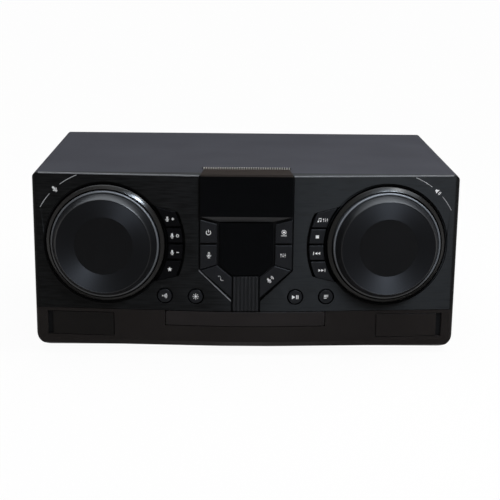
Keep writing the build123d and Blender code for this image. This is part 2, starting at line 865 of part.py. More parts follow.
# Loader frame: floor on four legs, rails for the tray, the gear's post and two bars for the sled
bar_z = loader_z + sled_bar_height
sled_gap = 4.0
bar_front_y = disc_y + turntable_radius + sled_gap
bar_back_y = bar_front_y + 2 * sled_gap + sled_length + sled_travel
with BuildPart() as loader_frame:
    loader_front_y = front_y + 4
    loader_back_y = front_y + loader_depth
    wall_x = tray_half + tongue_reach + 2 * rail_play
    wall_top = tray_z1 + 3
    floor_low = loader_z - loader_plate
    block(-wall_x, wall_x, loader_front_y, loader_back_y, floor_low, loader_z)
    block(
        -sled_half - 2, sled_half + 2, bar_front_y + bar_size, bar_back_y,
        floor_low, loader_z, Mode.SUBTRACT,
    )
    rail_low = tongue_z - tongue_thickness / 2 - rail_play
    rail_high = tongue_z + tongue_thickness / 2 + rail_play
    for side in (-1, 1):
        outer = side * (wall_x + loader_wall)
        x_low, x_high = sorted((side * wall_x, outer))
        block(x_low, x_high, loader_front_y, loader_back_y, floor_low, wall_top)
        x_low, x_high = sorted((side * (tray_half + 0.5), side * wall_x))
        block(x_low, x_high, loader_front_y, loader_back_y, rail_low - 2, rail_low)
        block(x_low, x_high, loader_front_y, loader_back_y, rail_high, rail_high + 2)
        for y in (tongue_y + 6, loader_back_y - 6):
            x_low, x_high = sorted((side * (wall_x - 8), outer))
            block(x_low, x_high, y - 5, y + 5, floor_z, floor_low)
        bar_x = side * bar_spacing / 2
        bar_low, bar_high = bar_x - bar_size / 2, bar_x + bar_size / 2
        block(bar_low, bar_high, bar_front_y, bar_front_y + bar_size, floor_low, bar_z + bar_size / 2)
        block(bar_low, bar_high, bar_back_y, bar_back_y + bar_size, floor_low, bar_z + bar_size / 2)
        block(bar_low, bar_high, bar_front_y, bar_back_y, bar_z - bar_size / 2, bar_z + bar_size / 2)
    with BuildSketch(Plane.XY.offset(loader_z)):
        with Locations((gear_along, gear_y)):
            Rectangle(3 * gear_post_radius, 3 * gear_post_radius)
    extrude(amount=tray_z0 - gear_face - fit_gap - loader_z)
    with BuildSketch(Plane.XY.offset(loader_z)):
        with Locations((gear_along, gear_y)):
            Circle(gear_post_radius)
    extrude(amount=tray_z0 - fit_gap - loader_z)
save(loader_frame, "loader_frame")

# Spindle motor and turntable
motor_top = tray_z0 - 1.0
with BuildPart() as spindle_motor:
    block(-motor_half, motor_half, disc_y - motor_half, disc_y + motor_half, loader_z, motor_top)
    block(-3, 3, disc_y - 3, disc_y + 3, motor_top, motor_top + 2)
    with BuildSketch(Plane.XY.offset(motor_top - 6)):
        with Locations((0, disc_y)):
            Circle(spindle_radius + shaft_play)
    extrude(amount=10, mode=Mode.SUBTRACT)
save(spindle_motor, "spindle_motor")

with BuildPart() as turntable:
    platter_z = tray_z0 + tray_floor + 0.6
    with BuildSketch(Plane.YZ):
        Polygon(
            (disc_y, motor_top - 5),
            (disc_y + spindle_radius, motor_top - 5),
            (disc_y + spindle_radius, platter_z - 2),
            (disc_y + turntable_radius, platter_z - 2),
            (disc_y + turntable_radius, platter_z),
            (disc_y + hub_radius, platter_z),
            (disc_y + hub_radius - 1.4, platter_z + 3.2),
            (disc_y, platter_z + 3.2),
        )
    revolve(axis=Axis((0, disc_y, 0), (0, 0, 1)))
save(turntable, "turntable")

# Pickup sled on its two bars
with BuildPart() as pickup_sled:
    sled_front_y = bar_front_y + sled_gap
    lens_z = bar_z + bar_size
    block(-sled_half, sled_half, sled_front_y, sled_front_y + sled_length, bar_z - bar_size, lens_z)
    with BuildSketch(Plane.XY.offset(lens_z)):
        with Locations((0, sled_front_y + lens_setback)):
            Circle(lens_radius)
    extrude(amount=tray_z0 + 1.5 - lens_z)
    channel = bar_size + 2 * fit_gap
    with BuildSketch(Plane.XZ.offset(-sled_front_y)):
        with Locations((-bar_spacing / 2, bar_z), (bar_spacing / 2, bar_z)):
            Rectangle(channel, channel)
    extrude(amount=-sled_length, mode=Mode.SUBTRACT)
save(pickup_sled, "pickup_sled")

# Clamp bridge across the loader, wider over the turntable
with BuildPart() as clamp_bridge:
    with BuildSketch(Plane.XY.offset(wall_top)):
        with Locations((0, disc_y)):
            Rectangle(2 * (wall_x + loader_wall), bridge_width)
            Circle(bridge_boss_radius)
    extrude(amount=bridge_plate)
save(clamp_bridge, "clamp_bridge")

# Port doors, each on two pins at its inner end
for side, name in ((-1, "left_port_door"), (1, "right_port_door")):
    with BuildPart() as port_door:
        with BuildSketch(wing_plane(side)):
            with Locations((side * (port_inner + port_outer) / 2, case_z + (port_bottom + port_top) / 2)):
                Rectangle(port_outer - port_inner, port_top - port_bottom)
        extrude(amount=-port_wall)
        chamfer(port_door.edges().filter_by(Axis.Z).sort_by(lambda e: abs(e.center().X))[:2], port_pin_radius)
        with BuildSketch(Plane.XY.offset(case_z + port_bottom - port_gap - port_pin_length)):
            with Locations(port_pin_centre(side)):
                Circle(port_pin_radius)
        extrude(amount=port_top - port_bottom + 2 * (port_gap + port_pin_length))
    save(port_door, name)

# Port blocks behind the doors: a floor under the finger notch and a panel with the sockets
with BuildPart() as port_blocks:
    block_low = case_z + port_bottom - port_gap
    block_high = case_z + port_top + port_gap
    block_middle = (block_low + block_high) / 2
    for side in (-1, 1):
        block_plane = wing_plane(side, -moulding_wall)
        with BuildSketch(block_plane):
            with Locations((side * (port_inner + notch_outer) / 2, block_middle)):
                Rectangle(notch_outer - port_inner + 2, block_high - block_low + 3)
        extrude(amount=-port_depth - jack_depth)
        with BuildSketch(block_plane):
            with Locations((side * (port_inner + port_outer) / 2, block_middle)):
                Rectangle(port_outer - port_inner - 3, block_high - block_low - 1)
        extrude(amount=-port_depth, mode=Mode.SUBTRACT)
        port_middle = side * (port_inner + port_outer) / 2
        with BuildSketch(wing_plane(side, -moulding_wall - port_depth)):
            with Locations((port_middle, block_middle)):
                with GridLocations(port_spacing, 1, 2, 1):
                    if side < 0:
                        Circle(jack_radius)
                    else:
                        Rectangle(usb_width, usb_height)
        extrude(amount=1 - jack_depth, mode=Mode.SUBTRACT)
save(port_blocks, "port_blocks")

# Top cover: a sheet bent over the top and both sides, with slots in the sides
with BuildPart() as top_cover:
    cover_front_y = rim_y + 0.2
    cover_foot = case_z + cover_lift
    for inset, mode in ((0, Mode.ADD), (sheet, Mode.SUBTRACT)):
        with BuildSketch(Plane.XZ.offset(-cover_front_y)):
            with Locations((0, (cover_foot + cover_top) / 2 - inset)):
                Rectangle(2 * cover_half - 2 * inset, cover_top - cover_foot)
            fillet(vertices().group_by(Axis.Y)[-1], cover_bend - inset)
        extrude(amount=cover_front_y - rear_y, mode=mode)
    with BuildSketch(Plane.YZ):
        with Locations((front_y + cabinet_depth * 0.62, case_z + front_height * 0.66)):
            with GridLocations(side_vent_pitch, 1, side_vents, 1):
                Rectangle(side_vent_width, side_vent_height)
    extrude(amount=width, both=True, mode=Mode.SUBTRACT)
save(top_cover, "top_cover")

# Base pan: floor with side flanges inside the cover, standoffs and vents
pan_front_y = tongue_y + fit_gap
board_low = floor_z + standoff_height
main_board_x = main_board_margin - pan_half + main_board_width / 2
main_board_y = front_y + main_board_setback + main_board_depth / 2
with BuildPart() as base_pan:
    block(-pan_half, pan_half, pan_front_y, panel_y, floor_z - sheet, floor_z)
    for side in (-1, 1):
        x_low, x_high = sorted((side * pan_half, side * (pan_half - sheet)))
        block(x_low, x_high, pan_front_y, panel_y, floor_z - sheet, floor_z + pan_flange)
    with BuildSketch(Plane.XY.offset(floor_z)):
        with Locations((main_board_x, main_board_y)):
            across = main_board_width - 2 * standoff_size
            along = main_board_depth - 2 * standoff_size
            with GridLocations(across, along, 2, 2):
                Rectangle(standoff_size, standoff_size)
    extrude(amount=standoff_height)
    with BuildSketch(Plane.XY.offset(floor_z)):
        with Locations((main_board_x, main_board_y)):
            with GridLocations(main_board_width / (pan_vents + 1), 1, pan_vents, 1):
                Rectangle(pan_vent_width, pan_vent_length)
    extrude(amount=-sheet, mode=Mode.SUBTRACT)
save(base_pan, "base_pan")

# Feet: four rubber pads
with BuildPart() as feet:
    with BuildSketch():
        with Locations((0, (foot_front_y + foot_back_y) / 2)):
            with GridLocations(2 * foot_along, foot_back_y - foot_front_y, 2, 2):
                Rectangle(foot_length, foot_width)
    extrude(amount=floor_z - sheet, taper=-foot_draft)
save(feet, "feet")

# Rear panel: sheet with vents and openings for the sockets and the inlet
socket_z = case_z + socket_level
speaker_x = socket_margin - pan_half
signal_x = speaker_x + signal_shift
inlet_x = pan_half - inlet_margin
inlet_z = case_z + inlet_level
speaker_plate = (3 * socket_spacing + socket_width + 2 * plate_border, socket_height + 2 * plate_border)
signal_plate = (signal_spacing + 2 * signal_radius + 2 * plate_border, 2 * signal_radius + 2 * plate_border)
inlet_plate = (inlet_width + 2 * plate_border, inlet_height + 2 * plate_border)
socket_groups = (
    (speaker_x, socket_z, speaker_plate, socket_depth + 2),
    (signal_x, socket_z, signal_plate, socket_depth + 2),
    (inlet_x, inlet_z, inlet_plate, inlet_depth + 1),
)
with BuildPart() as rear_panel:
    panel_high = cover_top - sheet - fit_gap
    panel_half = pan_half - sheet - fit_gap
    with BuildSketch(Plane.XZ.offset(-panel_y)):
        with Locations((0, (floor_z + panel_high) / 2)):
            Rectangle(2 * panel_half, panel_high - floor_z)
        with Locations((main_board_x, case_z + rear_vent_level)):
            with GridLocations(rear_vent_pitch, 1, rear_vents, 1):
                Rectangle(rear_vent_width, rear_vent_height, mode=Mode.SUBTRACT)
        for x, z, plate, _ in socket_groups:
            with Locations((x, z)):
                Rectangle(plate[0] - 2 * plate_lap, plate[1] - 2 * plate_lap, mode=Mode.SUBTRACT)
    extrude(amount=sheet)
save(rear_panel, "rear_panel")

# Boards behind the front, parallel to what they serve, with switches and the knobs' encoders
board_y = console_y + board_depth
with BuildPart() as front_boards:
    for side in (-1, 1):
        knob_at = (side * knob_along, case_z + knob_height)
        board_outer = width / 2 - side_wall - board_margin
        board_bottom = seam_z + board_seam_gap
        wing_board_top = front_top - side_wall - board_top_gap
        with BuildSketch(wing_plane(side, -board_depth)):
            with Locations((side * (console_half + board_outer) / 2, (board_bottom + wing_board_top) / 2)):
                Rectangle(board_outer - console_half, wing_board_top - board_bottom)
        extrude(amount=-board_thickness)
        key_places = [(side * along, case_z + round_key_height) for along in round_key_along]
        for z_low, z_high in column_bands():
            key_places.append((side * column_stem_along, column_key_height(z_low, z_high)))
        with BuildSketch(wing_plane(side, -board_depth)):
            with Locations(key_places):
                Rectangle(switch_size, switch_size)
        extrude(amount=switch_guide)
        with BuildSketch(wing_plane(side, switch_front)):
            with Locations(key_places):
                Rectangle(key_stem + 2 * fit_gap, key_stem + 2 * fit_gap)
        extrude(amount=switch_guide, mode=Mode.SUBTRACT)
        with BuildSketch(wing_plane(side, -board_depth)):
            with Locations(knob_at):
                Rectangle(encoder_size, encoder_size)
        extrude(amount=encoder_size / 2)
        with BuildSketch(wing_plane(side, -board_depth)):
            with Locations(knob_at):
                Rectangle(bushing_size, bushing_size)
        extrude(amount=board_depth - pocket_depth - fit_gap)
        with BuildSketch(wing_plane(side)):
            with Locations(knob_at):
                Circle(shaft_radius + shaft_play)
        extrude(amount=knob_base - shaft_length - fit_gap, mode=Mode.SUBTRACT)
    console_board_half = console_half - board_edge
    console_board_low = case_z + console_foot
    console_board_high = front_top - side_wall - board_edge
    block(
        -console_board_half, console_board_half, board_y, board_y + board_thickness,
        console_board_low, console_board_high,
    )
    with BuildSketch(Plane.XZ.offset(-board_y)):
        for side in (-1, 1):
            for corners in console_key_outlines().values():
                x, z = middle_of(corners)
                with Locations((side * x, case_z + z)):
                    Rectangle(switch_size, switch_size)
    extrude(amount=switch_height)
save(front_boards, "front_boards")

# Display module between the console frame and its board
with BuildPart() as display_module:
    module_half = console_half - module_inset
    block(
        -module_half, module_half, console_back_y + fit_gap, board_y - fit_gap,
        case_z + display_bottom + fit_gap, console_board_high,
    )
save(display_module, "display_module")

# Main board on the pan's standoffs, with its larger components
with BuildPart() as main_board:
    board_top = board_low + board_thickness
    board_half = main_board_width / 2
    board_front_y = front_y + main_board_setback
    block(
        main_board_x - board_half, main_board_x + board_half,
        board_front_y, board_front_y + main_board_depth, board_low, board_top,
    )
    with BuildSketch(Plane.XY.offset(board_top)):
        with Locations((main_board_x, board_front_y + sink_setback / 3)):
            with GridLocations(main_board_width / 4, sink_setback / 5, 3, 2):
                Rectangle(0.8 * component_height, 0.8 * component_height)
    extrude(amount=component_height)
save(main_board, "main_board")

# Heat sink: an upright plate with fins, standing on the main board
with BuildPart() as heat_sink:
    with BuildSketch(Plane.XY.offset(board_top)):
        with Locations((main_board_x, board_front_y + sink_setback)):
            Rectangle(sink_length, sink_plate)
            with GridLocations((sink_length - fin_thickness) / (sink_fins - 1), 1, sink_fins, 1):
                Rectangle(fin_thickness, fin_depth)
    extrude(amount=sink_height)
save(heat_sink, "heat_sink")

# Power transformer: laminated core and winding on the pan
with BuildPart() as power_transformer:
    core_x, core_y = pan_half - core_margin, front_y + core_setback
    winding_low = (core_height - winding_height) / 2
    for part_width, part_depth, low, high in (
        (core_width, core_depth, 0, core_height),
        (winding_width, winding_depth, winding_low, winding_low + winding_height),
        (core_width + 2 * core_foot, core_depth / 2, 0, core_foot_thickness),
    ):
        block(
            core_x - part_width / 2, core_x + part_width / 2,
            core_y - part_depth / 2, core_y + part_depth / 2, floor_z + low, floor_z + high,
        )
save(power_transformer, "power_transformer")

# Rear sockets: four keyed speaker sockets, two signal jacks and a mains inlet, each on its own plate
with BuildPart() as rear_sockets:
    for x, z, plate, body_depth in socket_groups:
        with BuildSketch(Plane.XZ.offset(-panel_y)):
            with Locations((x, z)):
                Rectangle(*plate)
        extrude(amount=-plate_thickness)
        with BuildSketch(Plane.XZ.offset(-panel_y)):
            with Locations((x, z)):
                Rectangle(plate[0] - 2 * plate_lap - 2 * fit_gap, plate[1] - 2 * plate_lap - 2 * fit_gap)
        extrude(amount=body_depth)
    plate_y = panel_y + plate_thickness
    with BuildSketch(Plane.XZ.offset(-plate_y)):
        with Locations((speaker_x, socket_z)):
            with GridLocations(socket_spacing, 1, 4, 1):
                Rectangle(socket_width, socket_height)
    extrude(amount=socket_depth, mode=Mode.SUBTRACT)
    with BuildSketch(Plane.XZ.offset(-plate_y)):
        with Locations((inlet_x, inlet_z)):
            Rectangle(inlet_width, inlet_height)
    extrude(amount=inlet_depth, mode=Mode.SUBTRACT)
    with BuildSketch(Plane.XZ.offset(inlet_depth - plate_y)):
        with Locations((inlet_x, inlet_z)):
            with GridLocations(inlet_pin_spacing, 1, 2, 1):
                Rectangle(inlet_pin, inlet_pin)
    extrude(amount=-inlet_pin_length)
    jack_end_y = rear_y + jack_reach
    with BuildSketch(Plane.XZ.offset(-panel_y)):
        with Locations((signal_x, socket_z)):
            with GridLocations(signal_spacing, 1, 2, 1):
                Circle(signal_radius)
    extrude(amount=panel_y - jack_end_y)
    with BuildSketch(Plane.XZ.offset(-jack_end_y)):
        with Locations((signal_x, socket_z)):
            with GridLocations(signal_spacing, 1, 2, 1):
                Circle(signal_bore)
    extrude(amount=signal_depth, mode=Mode.SUBTRACT)
save(rear_sockets, "rear_sockets")
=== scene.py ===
import json
import math

import bmesh
import bpy
from mathutils import Matrix, Vector

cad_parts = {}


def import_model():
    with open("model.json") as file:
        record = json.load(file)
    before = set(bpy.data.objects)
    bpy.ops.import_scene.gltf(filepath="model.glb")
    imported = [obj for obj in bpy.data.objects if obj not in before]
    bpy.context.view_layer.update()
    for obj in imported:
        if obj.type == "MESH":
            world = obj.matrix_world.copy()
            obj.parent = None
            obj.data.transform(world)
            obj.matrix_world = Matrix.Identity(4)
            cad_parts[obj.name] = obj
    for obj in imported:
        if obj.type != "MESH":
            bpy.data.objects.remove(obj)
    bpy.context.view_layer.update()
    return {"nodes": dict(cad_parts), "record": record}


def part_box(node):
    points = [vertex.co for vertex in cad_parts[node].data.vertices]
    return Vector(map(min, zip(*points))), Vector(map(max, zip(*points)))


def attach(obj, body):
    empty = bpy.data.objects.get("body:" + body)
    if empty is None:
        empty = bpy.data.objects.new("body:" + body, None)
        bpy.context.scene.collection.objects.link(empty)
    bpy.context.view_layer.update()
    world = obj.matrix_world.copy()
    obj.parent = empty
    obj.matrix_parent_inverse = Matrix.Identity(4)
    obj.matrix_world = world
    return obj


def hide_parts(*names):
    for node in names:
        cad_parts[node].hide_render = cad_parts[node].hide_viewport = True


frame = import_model()
NODES = frame["nodes"]
BODY_OF = {node: body for body, nodes in frame["record"]["behaviour"]["bodies"].items() for node in nodes}
SLOT_OF = {part["node"]: part["material_slot"] for part in frame["record"]["subparts"]}
MM = 0.001

# The front's two wings meet in a shallow V; places on them are given along the wing, above the
# skirt's underside, and proud of the wing's face, all in millimetres.
CASE_Z = 6.0  # the skirt's underside above the floor
FRONT_Y = -131.095  # the front's outer corners
HALF_WIDTH = 225.0
APEX_LEAD = 15.75  # how far the crease stands ahead of the corners
APEX_Y = FRONT_Y - APEX_LEAD
CONSOLE_Y = FRONT_Y - 15.0  # the faces of the console's keys
FACE_TOP = 189.6  # the top of the wings' faces above the skirt's underside
WING = math.atan(APEX_LEAD / HALF_WIDTH)
KNOB_ALONG = 148.6
KNOB_HEIGHT = 115.2


def wing_axes(side):
    """Directions along a wing and out of its face; side is -1 for the left wing and 1 for the right."""
    across = Vector((math.cos(WING), side * math.sin(WING), 0.0))
    out = Vector((side * math.sin(WING), -math.cos(WING), 0.0))
    return across, out


def wing(side, along, height, proud):
    """Point on a wing, in metres."""
    across, out = wing_axes(side)
    point = Vector((0.0, APEX_Y, CASE_Z)) + across * along + Vector((0, 0, height)) + out * proud
    return point * MM


def wing_frame(side, along, height, proud=0.0):
    """Matrix whose X runs along the wing, Y up and Z out of its face."""
    across, out = wing_axes(side)
    matrix = Matrix.Identity(4)
    for row in range(3):
        matrix[row][0] = across[row]
        matrix[row][1] = (0.0, 0.0, 1.0)[row]
        matrix[row][2] = out[row]
    matrix.translation = wing(side, along, height, proud)
    return matrix


def flat_frame(x, y, z, out="-Y"):
    """Matrix of an upright plane facing the front (-Y) or the rear (+Y), placed in millimetres."""
    sign = 1.0 if out == "-Y" else -1.0
    return Matrix(((sign, 0, 0, x * MM), (0, 0, -sign, y * MM), (0, 1, 0, z * MM), (0, 0, 0, 1)))


def side_frame(side, x, y, z):
    """Matrix of an upright plane facing the left (side -1) or the right (side 1), placed in metres."""
    return Matrix(((0, 0, side, side * x), (side, 0, 0, y), (0, 1, 0, z), (0, 0, 0, 1)))


# Materials
QUARTER_TURN = 0.25  # of the anisotropy
MIX_FIRST, MIX_SECOND, MIX_RESULT = 6, 7, 2  # a mix node's sockets for colours


def srgb(red, green, blue):
    """Linear colour of an sRGB triple in 0-255."""
    values = []
    for value in (red, green, blue):
        value /= 255.0
        values.append(value / 12.92 if value <= 0.04045 else ((value + 0.055) / 1.055) ** 2.4)
    return (*values, 1.0)


class Surface:
    """A material on one Principled shader, fed by noise for colour, roughness and relief."""

    def __init__(self, name, colour, rough, specular, metal=0.0, aniso=0.0, turn=0.0):
        self.material = bpy.data.materials.new(name)
        self.material.use_nodes = True
        self.tree = self.material.node_tree
        self.shader = self.tree.nodes["Principled BSDF"]
        self.colour = colour
        inputs = self.shader.inputs
        inputs["Base Color"].default_value = colour
        inputs["Roughness"].default_value = rough
        inputs["Specular IOR Level"].default_value = specular
        inputs["Metallic"].default_value = metal
        inputs["Anisotropic"].default_value = aniso
        inputs["Anisotropic Rotation"].default_value = turn
        self.rough = rough
        self.height = None

    def node(self, kind, **values):
        """New node with the given inputs or properties."""
        made = self.tree.nodes.new(kind)
        for key, value in values.items():
            if key in made.inputs:
                made.inputs[key].default_value = value
            else:
                setattr(made, key, value)
        return made

    def link(self, source, target):
        self.tree.links.new(source, target)

    def noise(self, scale, stretch=(1, 1, 1), *, detail, seed=0.0, uv=False):
        """Noise from 0 to 1 in the object's metres, or in its UV map."""
        place = self.node("ShaderNodeTexCoord")
        mapping = self.node("ShaderNodeMapping", Scale=stretch, Location=(seed, seed * 0.7, seed * 1.3))
        self.link(place.outputs["UV" if uv else "Object"], mapping.inputs["Vector"])
        noise = self.node("ShaderNodeTexNoise", Scale=scale, Detail=detail)
        self.link(mapping.outputs["Vector"], noise.inputs["Vector"])
        return noise.outputs["Fac"]

    def ranged(self, fac, low, high):
        """The noise's middle, where nearly all of it lies, spread from low to high."""
        ranges = self.node("ShaderNodeMapRange")
        for key, value in (("From Min", 0.3), ("From Max", 0.7), ("To Min", low), ("To Max", high)):
            ranges.inputs[key].default_value = value
        self.link(fac, ranges.inputs["Value"])
        return ranges.outputs["Result"]

    def vary_colour(self, fac, amount):
        """The colour wanders a little above and below its plain value."""
        mix = self.node("ShaderNodeMix", data_type="RGBA")
        dark = tuple(c * (1 - amount) for c in self.colour[:3]) + (1.0,)
        light = tuple(min(1.0, c * (1 + amount)) for c in self.colour[:3]) + (1.0,)
        mix.inputs[MIX_FIRST].default_value = dark
        mix.inputs[MIX_SECOND].default_value = light
        self.link(self.ranged(fac, 0.0, 1.0), mix.inputs[0])
        self.link(mix.outputs[MIX_RESULT], self.shader.inputs["Base Color"])
        return self

    def vary_rough(self, fac, amount):
        self.link(self.ranged(fac, self.rough - amount, self.rough + amount), self.shader.inputs["Roughness"])
        return self

    def relief(self, fac, depth_mm):
        """Bumps the surface, on top of any relief it already has."""
        bump = self.node("ShaderNodeBump", Strength=1.0, Distance=depth_mm * MM)
        self.link(fac, bump.inputs["Height"])
        if self.height is not None:
            self.link(self.height, bump.inputs["Normal"])
        self.height = bump.outputs["Normal"]
        self.link(self.height, self.shader.inputs["Normal"])
        return self

    def tangent(self):
        """Gloss is drawn out across the UV map's U direction."""
        tangent = self.node("ShaderNodeTangent", direction_type="UV_MAP")
        self.link(tangent.outputs["Tangent"], self.shader.inputs["Tangent"])
        return self


def grained(name, colour, rough, specular, grain=900.0, depth=0.02, **more):
    """Moulded or painted surface: a fine grain, a slow cloudiness and uneven polish."""
    surface = Surface(name, colour, rough, specular, **more)
    fine = surface.noise(grain, detail=2.0)
    slow = surface.noise(14.0, detail=3.0, seed=3.1)
    surface.vary_colour(slow, 0.06).vary_rough(slow, 0.05).relief(fine, depth)
    return surface


def brushed(name, colour, rough, specular, along="X", depth=0.012, aniso=0.75, **more):
    """Surface with fine straight lines along X or Z."""
    surface = Surface(name, colour, rough, specular, aniso=aniso, turn=QUARTER_TURN, **more)
    stretch = {"X": (1.2, 60, 60), "Z": (60, 60, 1.2)}[along]
    fine = surface.noise(12.0, stretch, detail=2.0)
    lines = surface.noise(11.0, stretch, detail=1.0, seed=5.0)
    surface.vary_colour(lines, 0.75).vary_rough(lines, 0.16).relief(fine, depth).relief(lines, depth * 1.5)
    surface.tangent()
    return surface


# One surface for each slot of the record: colour, roughness, specular level, grain and its depth
MATERIALS = {
    "brushed_dark": brushed("fascia_plastic", srgb(14, 14, 14), 0.62, 0.045, depth=0.016, aniso=0.8),
    "satin_dark": grained("skirt_plastic", srgb(31, 28, 27), 0.42, 0.04, 700, 0.02),
    "charcoal_paint": grained("cover_paint", srgb(72, 73, 79), 0.7, 0.0, 1100, 0.03),
    "zinc_sheet": grained("zinc_sheet", srgb(150, 151, 153), 0.38, 0.5, 160, 0.01, metal=0.85),
    "gloss_black": grained("gloss_black", srgb(6, 7, 9), 0.1, 0.02, 500, 0.002),
    "grey_satin": grained("lip_plastic", srgb(46, 46, 47), 0.4, 0.10, 800, 0.015),
    "matte_black": grained("matte_black", srgb(12, 12, 13), 0.55, 0.04, 800, 0.02),
    "key_satin": grained("key_plastic", srgb(26, 27, 30), 0.42, 0.05, 900, 0.012),
    "white_plastic": grained("acetal", srgb(222, 221, 214), 0.4, 0.5, 700, 0.01),
    "steel": grained("steel", srgb(150, 150, 152), 0.32, 0.5, 300, 0.006, metal=1.0),
    "black_rubber": grained("rubber", srgb(26, 26, 26), 0.8, 0.1, 600, 0.04),
    "board_green": grained("board_lacquer", srgb(28, 84, 52), 0.3, 0.4, 260, 0.02),
    "board_black": grained("black_lacquer", srgb(12, 12, 13), 0.5, 0.05, 260, 0.02),
    "bare_aluminium": brushed("aluminium", srgb(200, 201, 204), 0.34, 0.5, "Z", metal=1.0),
    "transformer_iron": grained("core_varnish", srgb(60, 56, 52), 0.5, 0.3, 240, 0.06),
    "spun_metal": grained("knob_underside", srgb(30, 30, 32), 0.45, 0.2),
}
# Surfaces of the pieces made here
PRINT = grained("label_ink", srgb(244, 245, 247), 0.5, 0.15, 1200, 0.003)
ARC_PRINT = grained("arc_ink", srgb(176, 178, 181), 0.5, 0.15, 1200, 0.003)
BEZEL = grained("bezel_gloss", srgb(21, 20, 19), 0.21, 0.12, 500, 0.001)
# Near-black for the shadow in the gap round each bezel: painted shadow
GAP_SHADE = grained("gap_painted_shadow", srgb(4, 4, 5), 0.8, 0.0, 900, 0.01)
SCREEN = grained("dust_felt", srgb(17, 17, 18), 0.9, 0.0, 1500, 0.12)
# Darker copy of the skirt plastic for the left port door: painted shade
SHADE_PAINTED_DOOR = grained("door_left_painted_shade", srgb(22, 20, 19), 0.42, 0.04, 700, 0.02)
# Lighter copy of the skirt plastic for the tray's door: painted light
LIGHT_PAINTED_TRAY = grained("tray_front_painted_light", srgb(37, 34, 34), 0.42, 0.04, 700, 0.02)
RING = grained("ring_metal", srgb(60, 60, 61), 0.6, 0.5, 300, 0.002, metal=0.8)
WALL = grained("knob_wall", srgb(13, 13, 15), 0.38, 0.16, 500, 0.003)
MATT_DISC = grained("knob_disc", srgb(17, 17, 18), 0.5, 0.03, 1300, 0.02)
# Crown: lighter than its own dark gloss and without specular, for a painted reflection
CROWN_PAINTED_SHEEN = grained("crown_painted_sheen", srgb(56, 52, 50), 0.2, 0.0, 300, 0.002)
CHROME = grained("plated_metal", srgb(190, 190, 192), 0.16, 0.5, 300, 0.002, metal=1.0)
RED_RING = grained("red_insulator", srgb(150, 24, 26), 0.4, 0.4)
WHITE_RING = grained("white_insulator", srgb(205, 204, 198), 0.4, 0.4)
# Light grey for the bright lines along the fascia's top and its lower left diagonal: painted highlight
EDGE = grained("edge_painted_highlight", srgb(118, 120, 124), 0.35, 0.2, 900, 0.006)
RIBS = grained("rib_plastic", srgb(36, 37, 39), 0.42, 0.05, 900, 0.012)
TOOTH = grained("tooth_edge", srgb(206, 204, 200), 0.4, 0.3, 900, 0.004)
# Darker copy of the key plastic for the left column's keys: painted shade
SHADE_PAINTED_KEY = grained("key_painted_shade", srgb(9, 9, 11), 0.42, 0.02, 900, 0.012)

# Turned in circles: the noise is drawn out along U, which runs round the knob
SPUN = Surface("knob_dish", srgb(25, 25, 26), 0.72, 0.5, metal=1.0, aniso=0.74, turn=QUARTER_TURN)
turned = SPUN.noise(1.0, (2.0, 1500.0, 1.0), detail=2.0, uv=True)
SPUN.vary_colour(turned, 0.14).vary_rough(turned, 0.05).relief(turned, 0.006).tangent()


# Meshes
def mesh_from(build, name):
    """Mesh data of a build, which is freed."""
    mesh_data = bpy.data.meshes.new(name)
    build.to_mesh(mesh_data)
    build.free()
    return mesh_data


def piece_from(name, mesh_data, surfaces, body, replaces=()):
    """Object that rides on a body, and stands in the place of the nodes it replaces."""
    made = bpy.data.objects.new(name, mesh_data)
    bpy.context.scene.collection.objects.link(made)
    for surface in surfaces:
        mesh_data.materials.append(surface.material)
    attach(made, body)
    if replaces:
        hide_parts(*replaces)
    return made


def planar_uv(mesh_data):
    """Lays U along the object's X and V up, so that brushed lines have a direction."""
    layer = mesh_data.uv_layers.new(name="UVMap") if not mesh_data.uv_layers else mesh_data.uv_layers[0]
    span = 2 * HALF_WIDTH * MM
    for loop in mesh_data.loops:
        point = mesh_data.vertices[loop.vertex_index].co
        layer.data[loop.index].uv = (point.x / span + 0.5, (point.z + 0.3 * point.y) / span)


SMOOTH_LIMIT = 50.0  # degrees of turn over which faces are shaded apart


def shade(mesh_data):
    """Smooth normals, in which the larger face wins."""
    faces = mesh_data.polygons
    around = [[] for _ in mesh_data.vertices]
    for face in faces:
        for vertex in face.vertices:
            around[vertex].append(face.index)
    turns = [face.normal.copy() for face in faces]
    weighed = [turn * (face.area / MM ** 2) ** 2 for turn, face in zip(turns, faces)]
    least = math.cos(math.radians(SMOOTH_LIMIT))
    normals = [Vector((0.0, 0.0, 1.0))] * len(mesh_data.loops)
    for face in faces:
        own = turns[face.index]
        for loop in face.loop_indices:
            total = Vector((0.0, 0.0, 0.0))
            for other in around[mesh_data.loops[loop].vertex_index]:
                if own.dot(turns[other]) > least:
                    total += weighed[other]
            normals[loop] = total.normalized() if total.length > 1e-12 else own
    mesh_data.normals_split_custom_set(normals)


SHARP_EDGE = 28.0  # degrees of turn from which an edge is rounded
PLAIN_SHARE = 0.28  # of the width, where no other share is given
BROAD_SHARE = 0.8
FINE_SHARE = 0.08


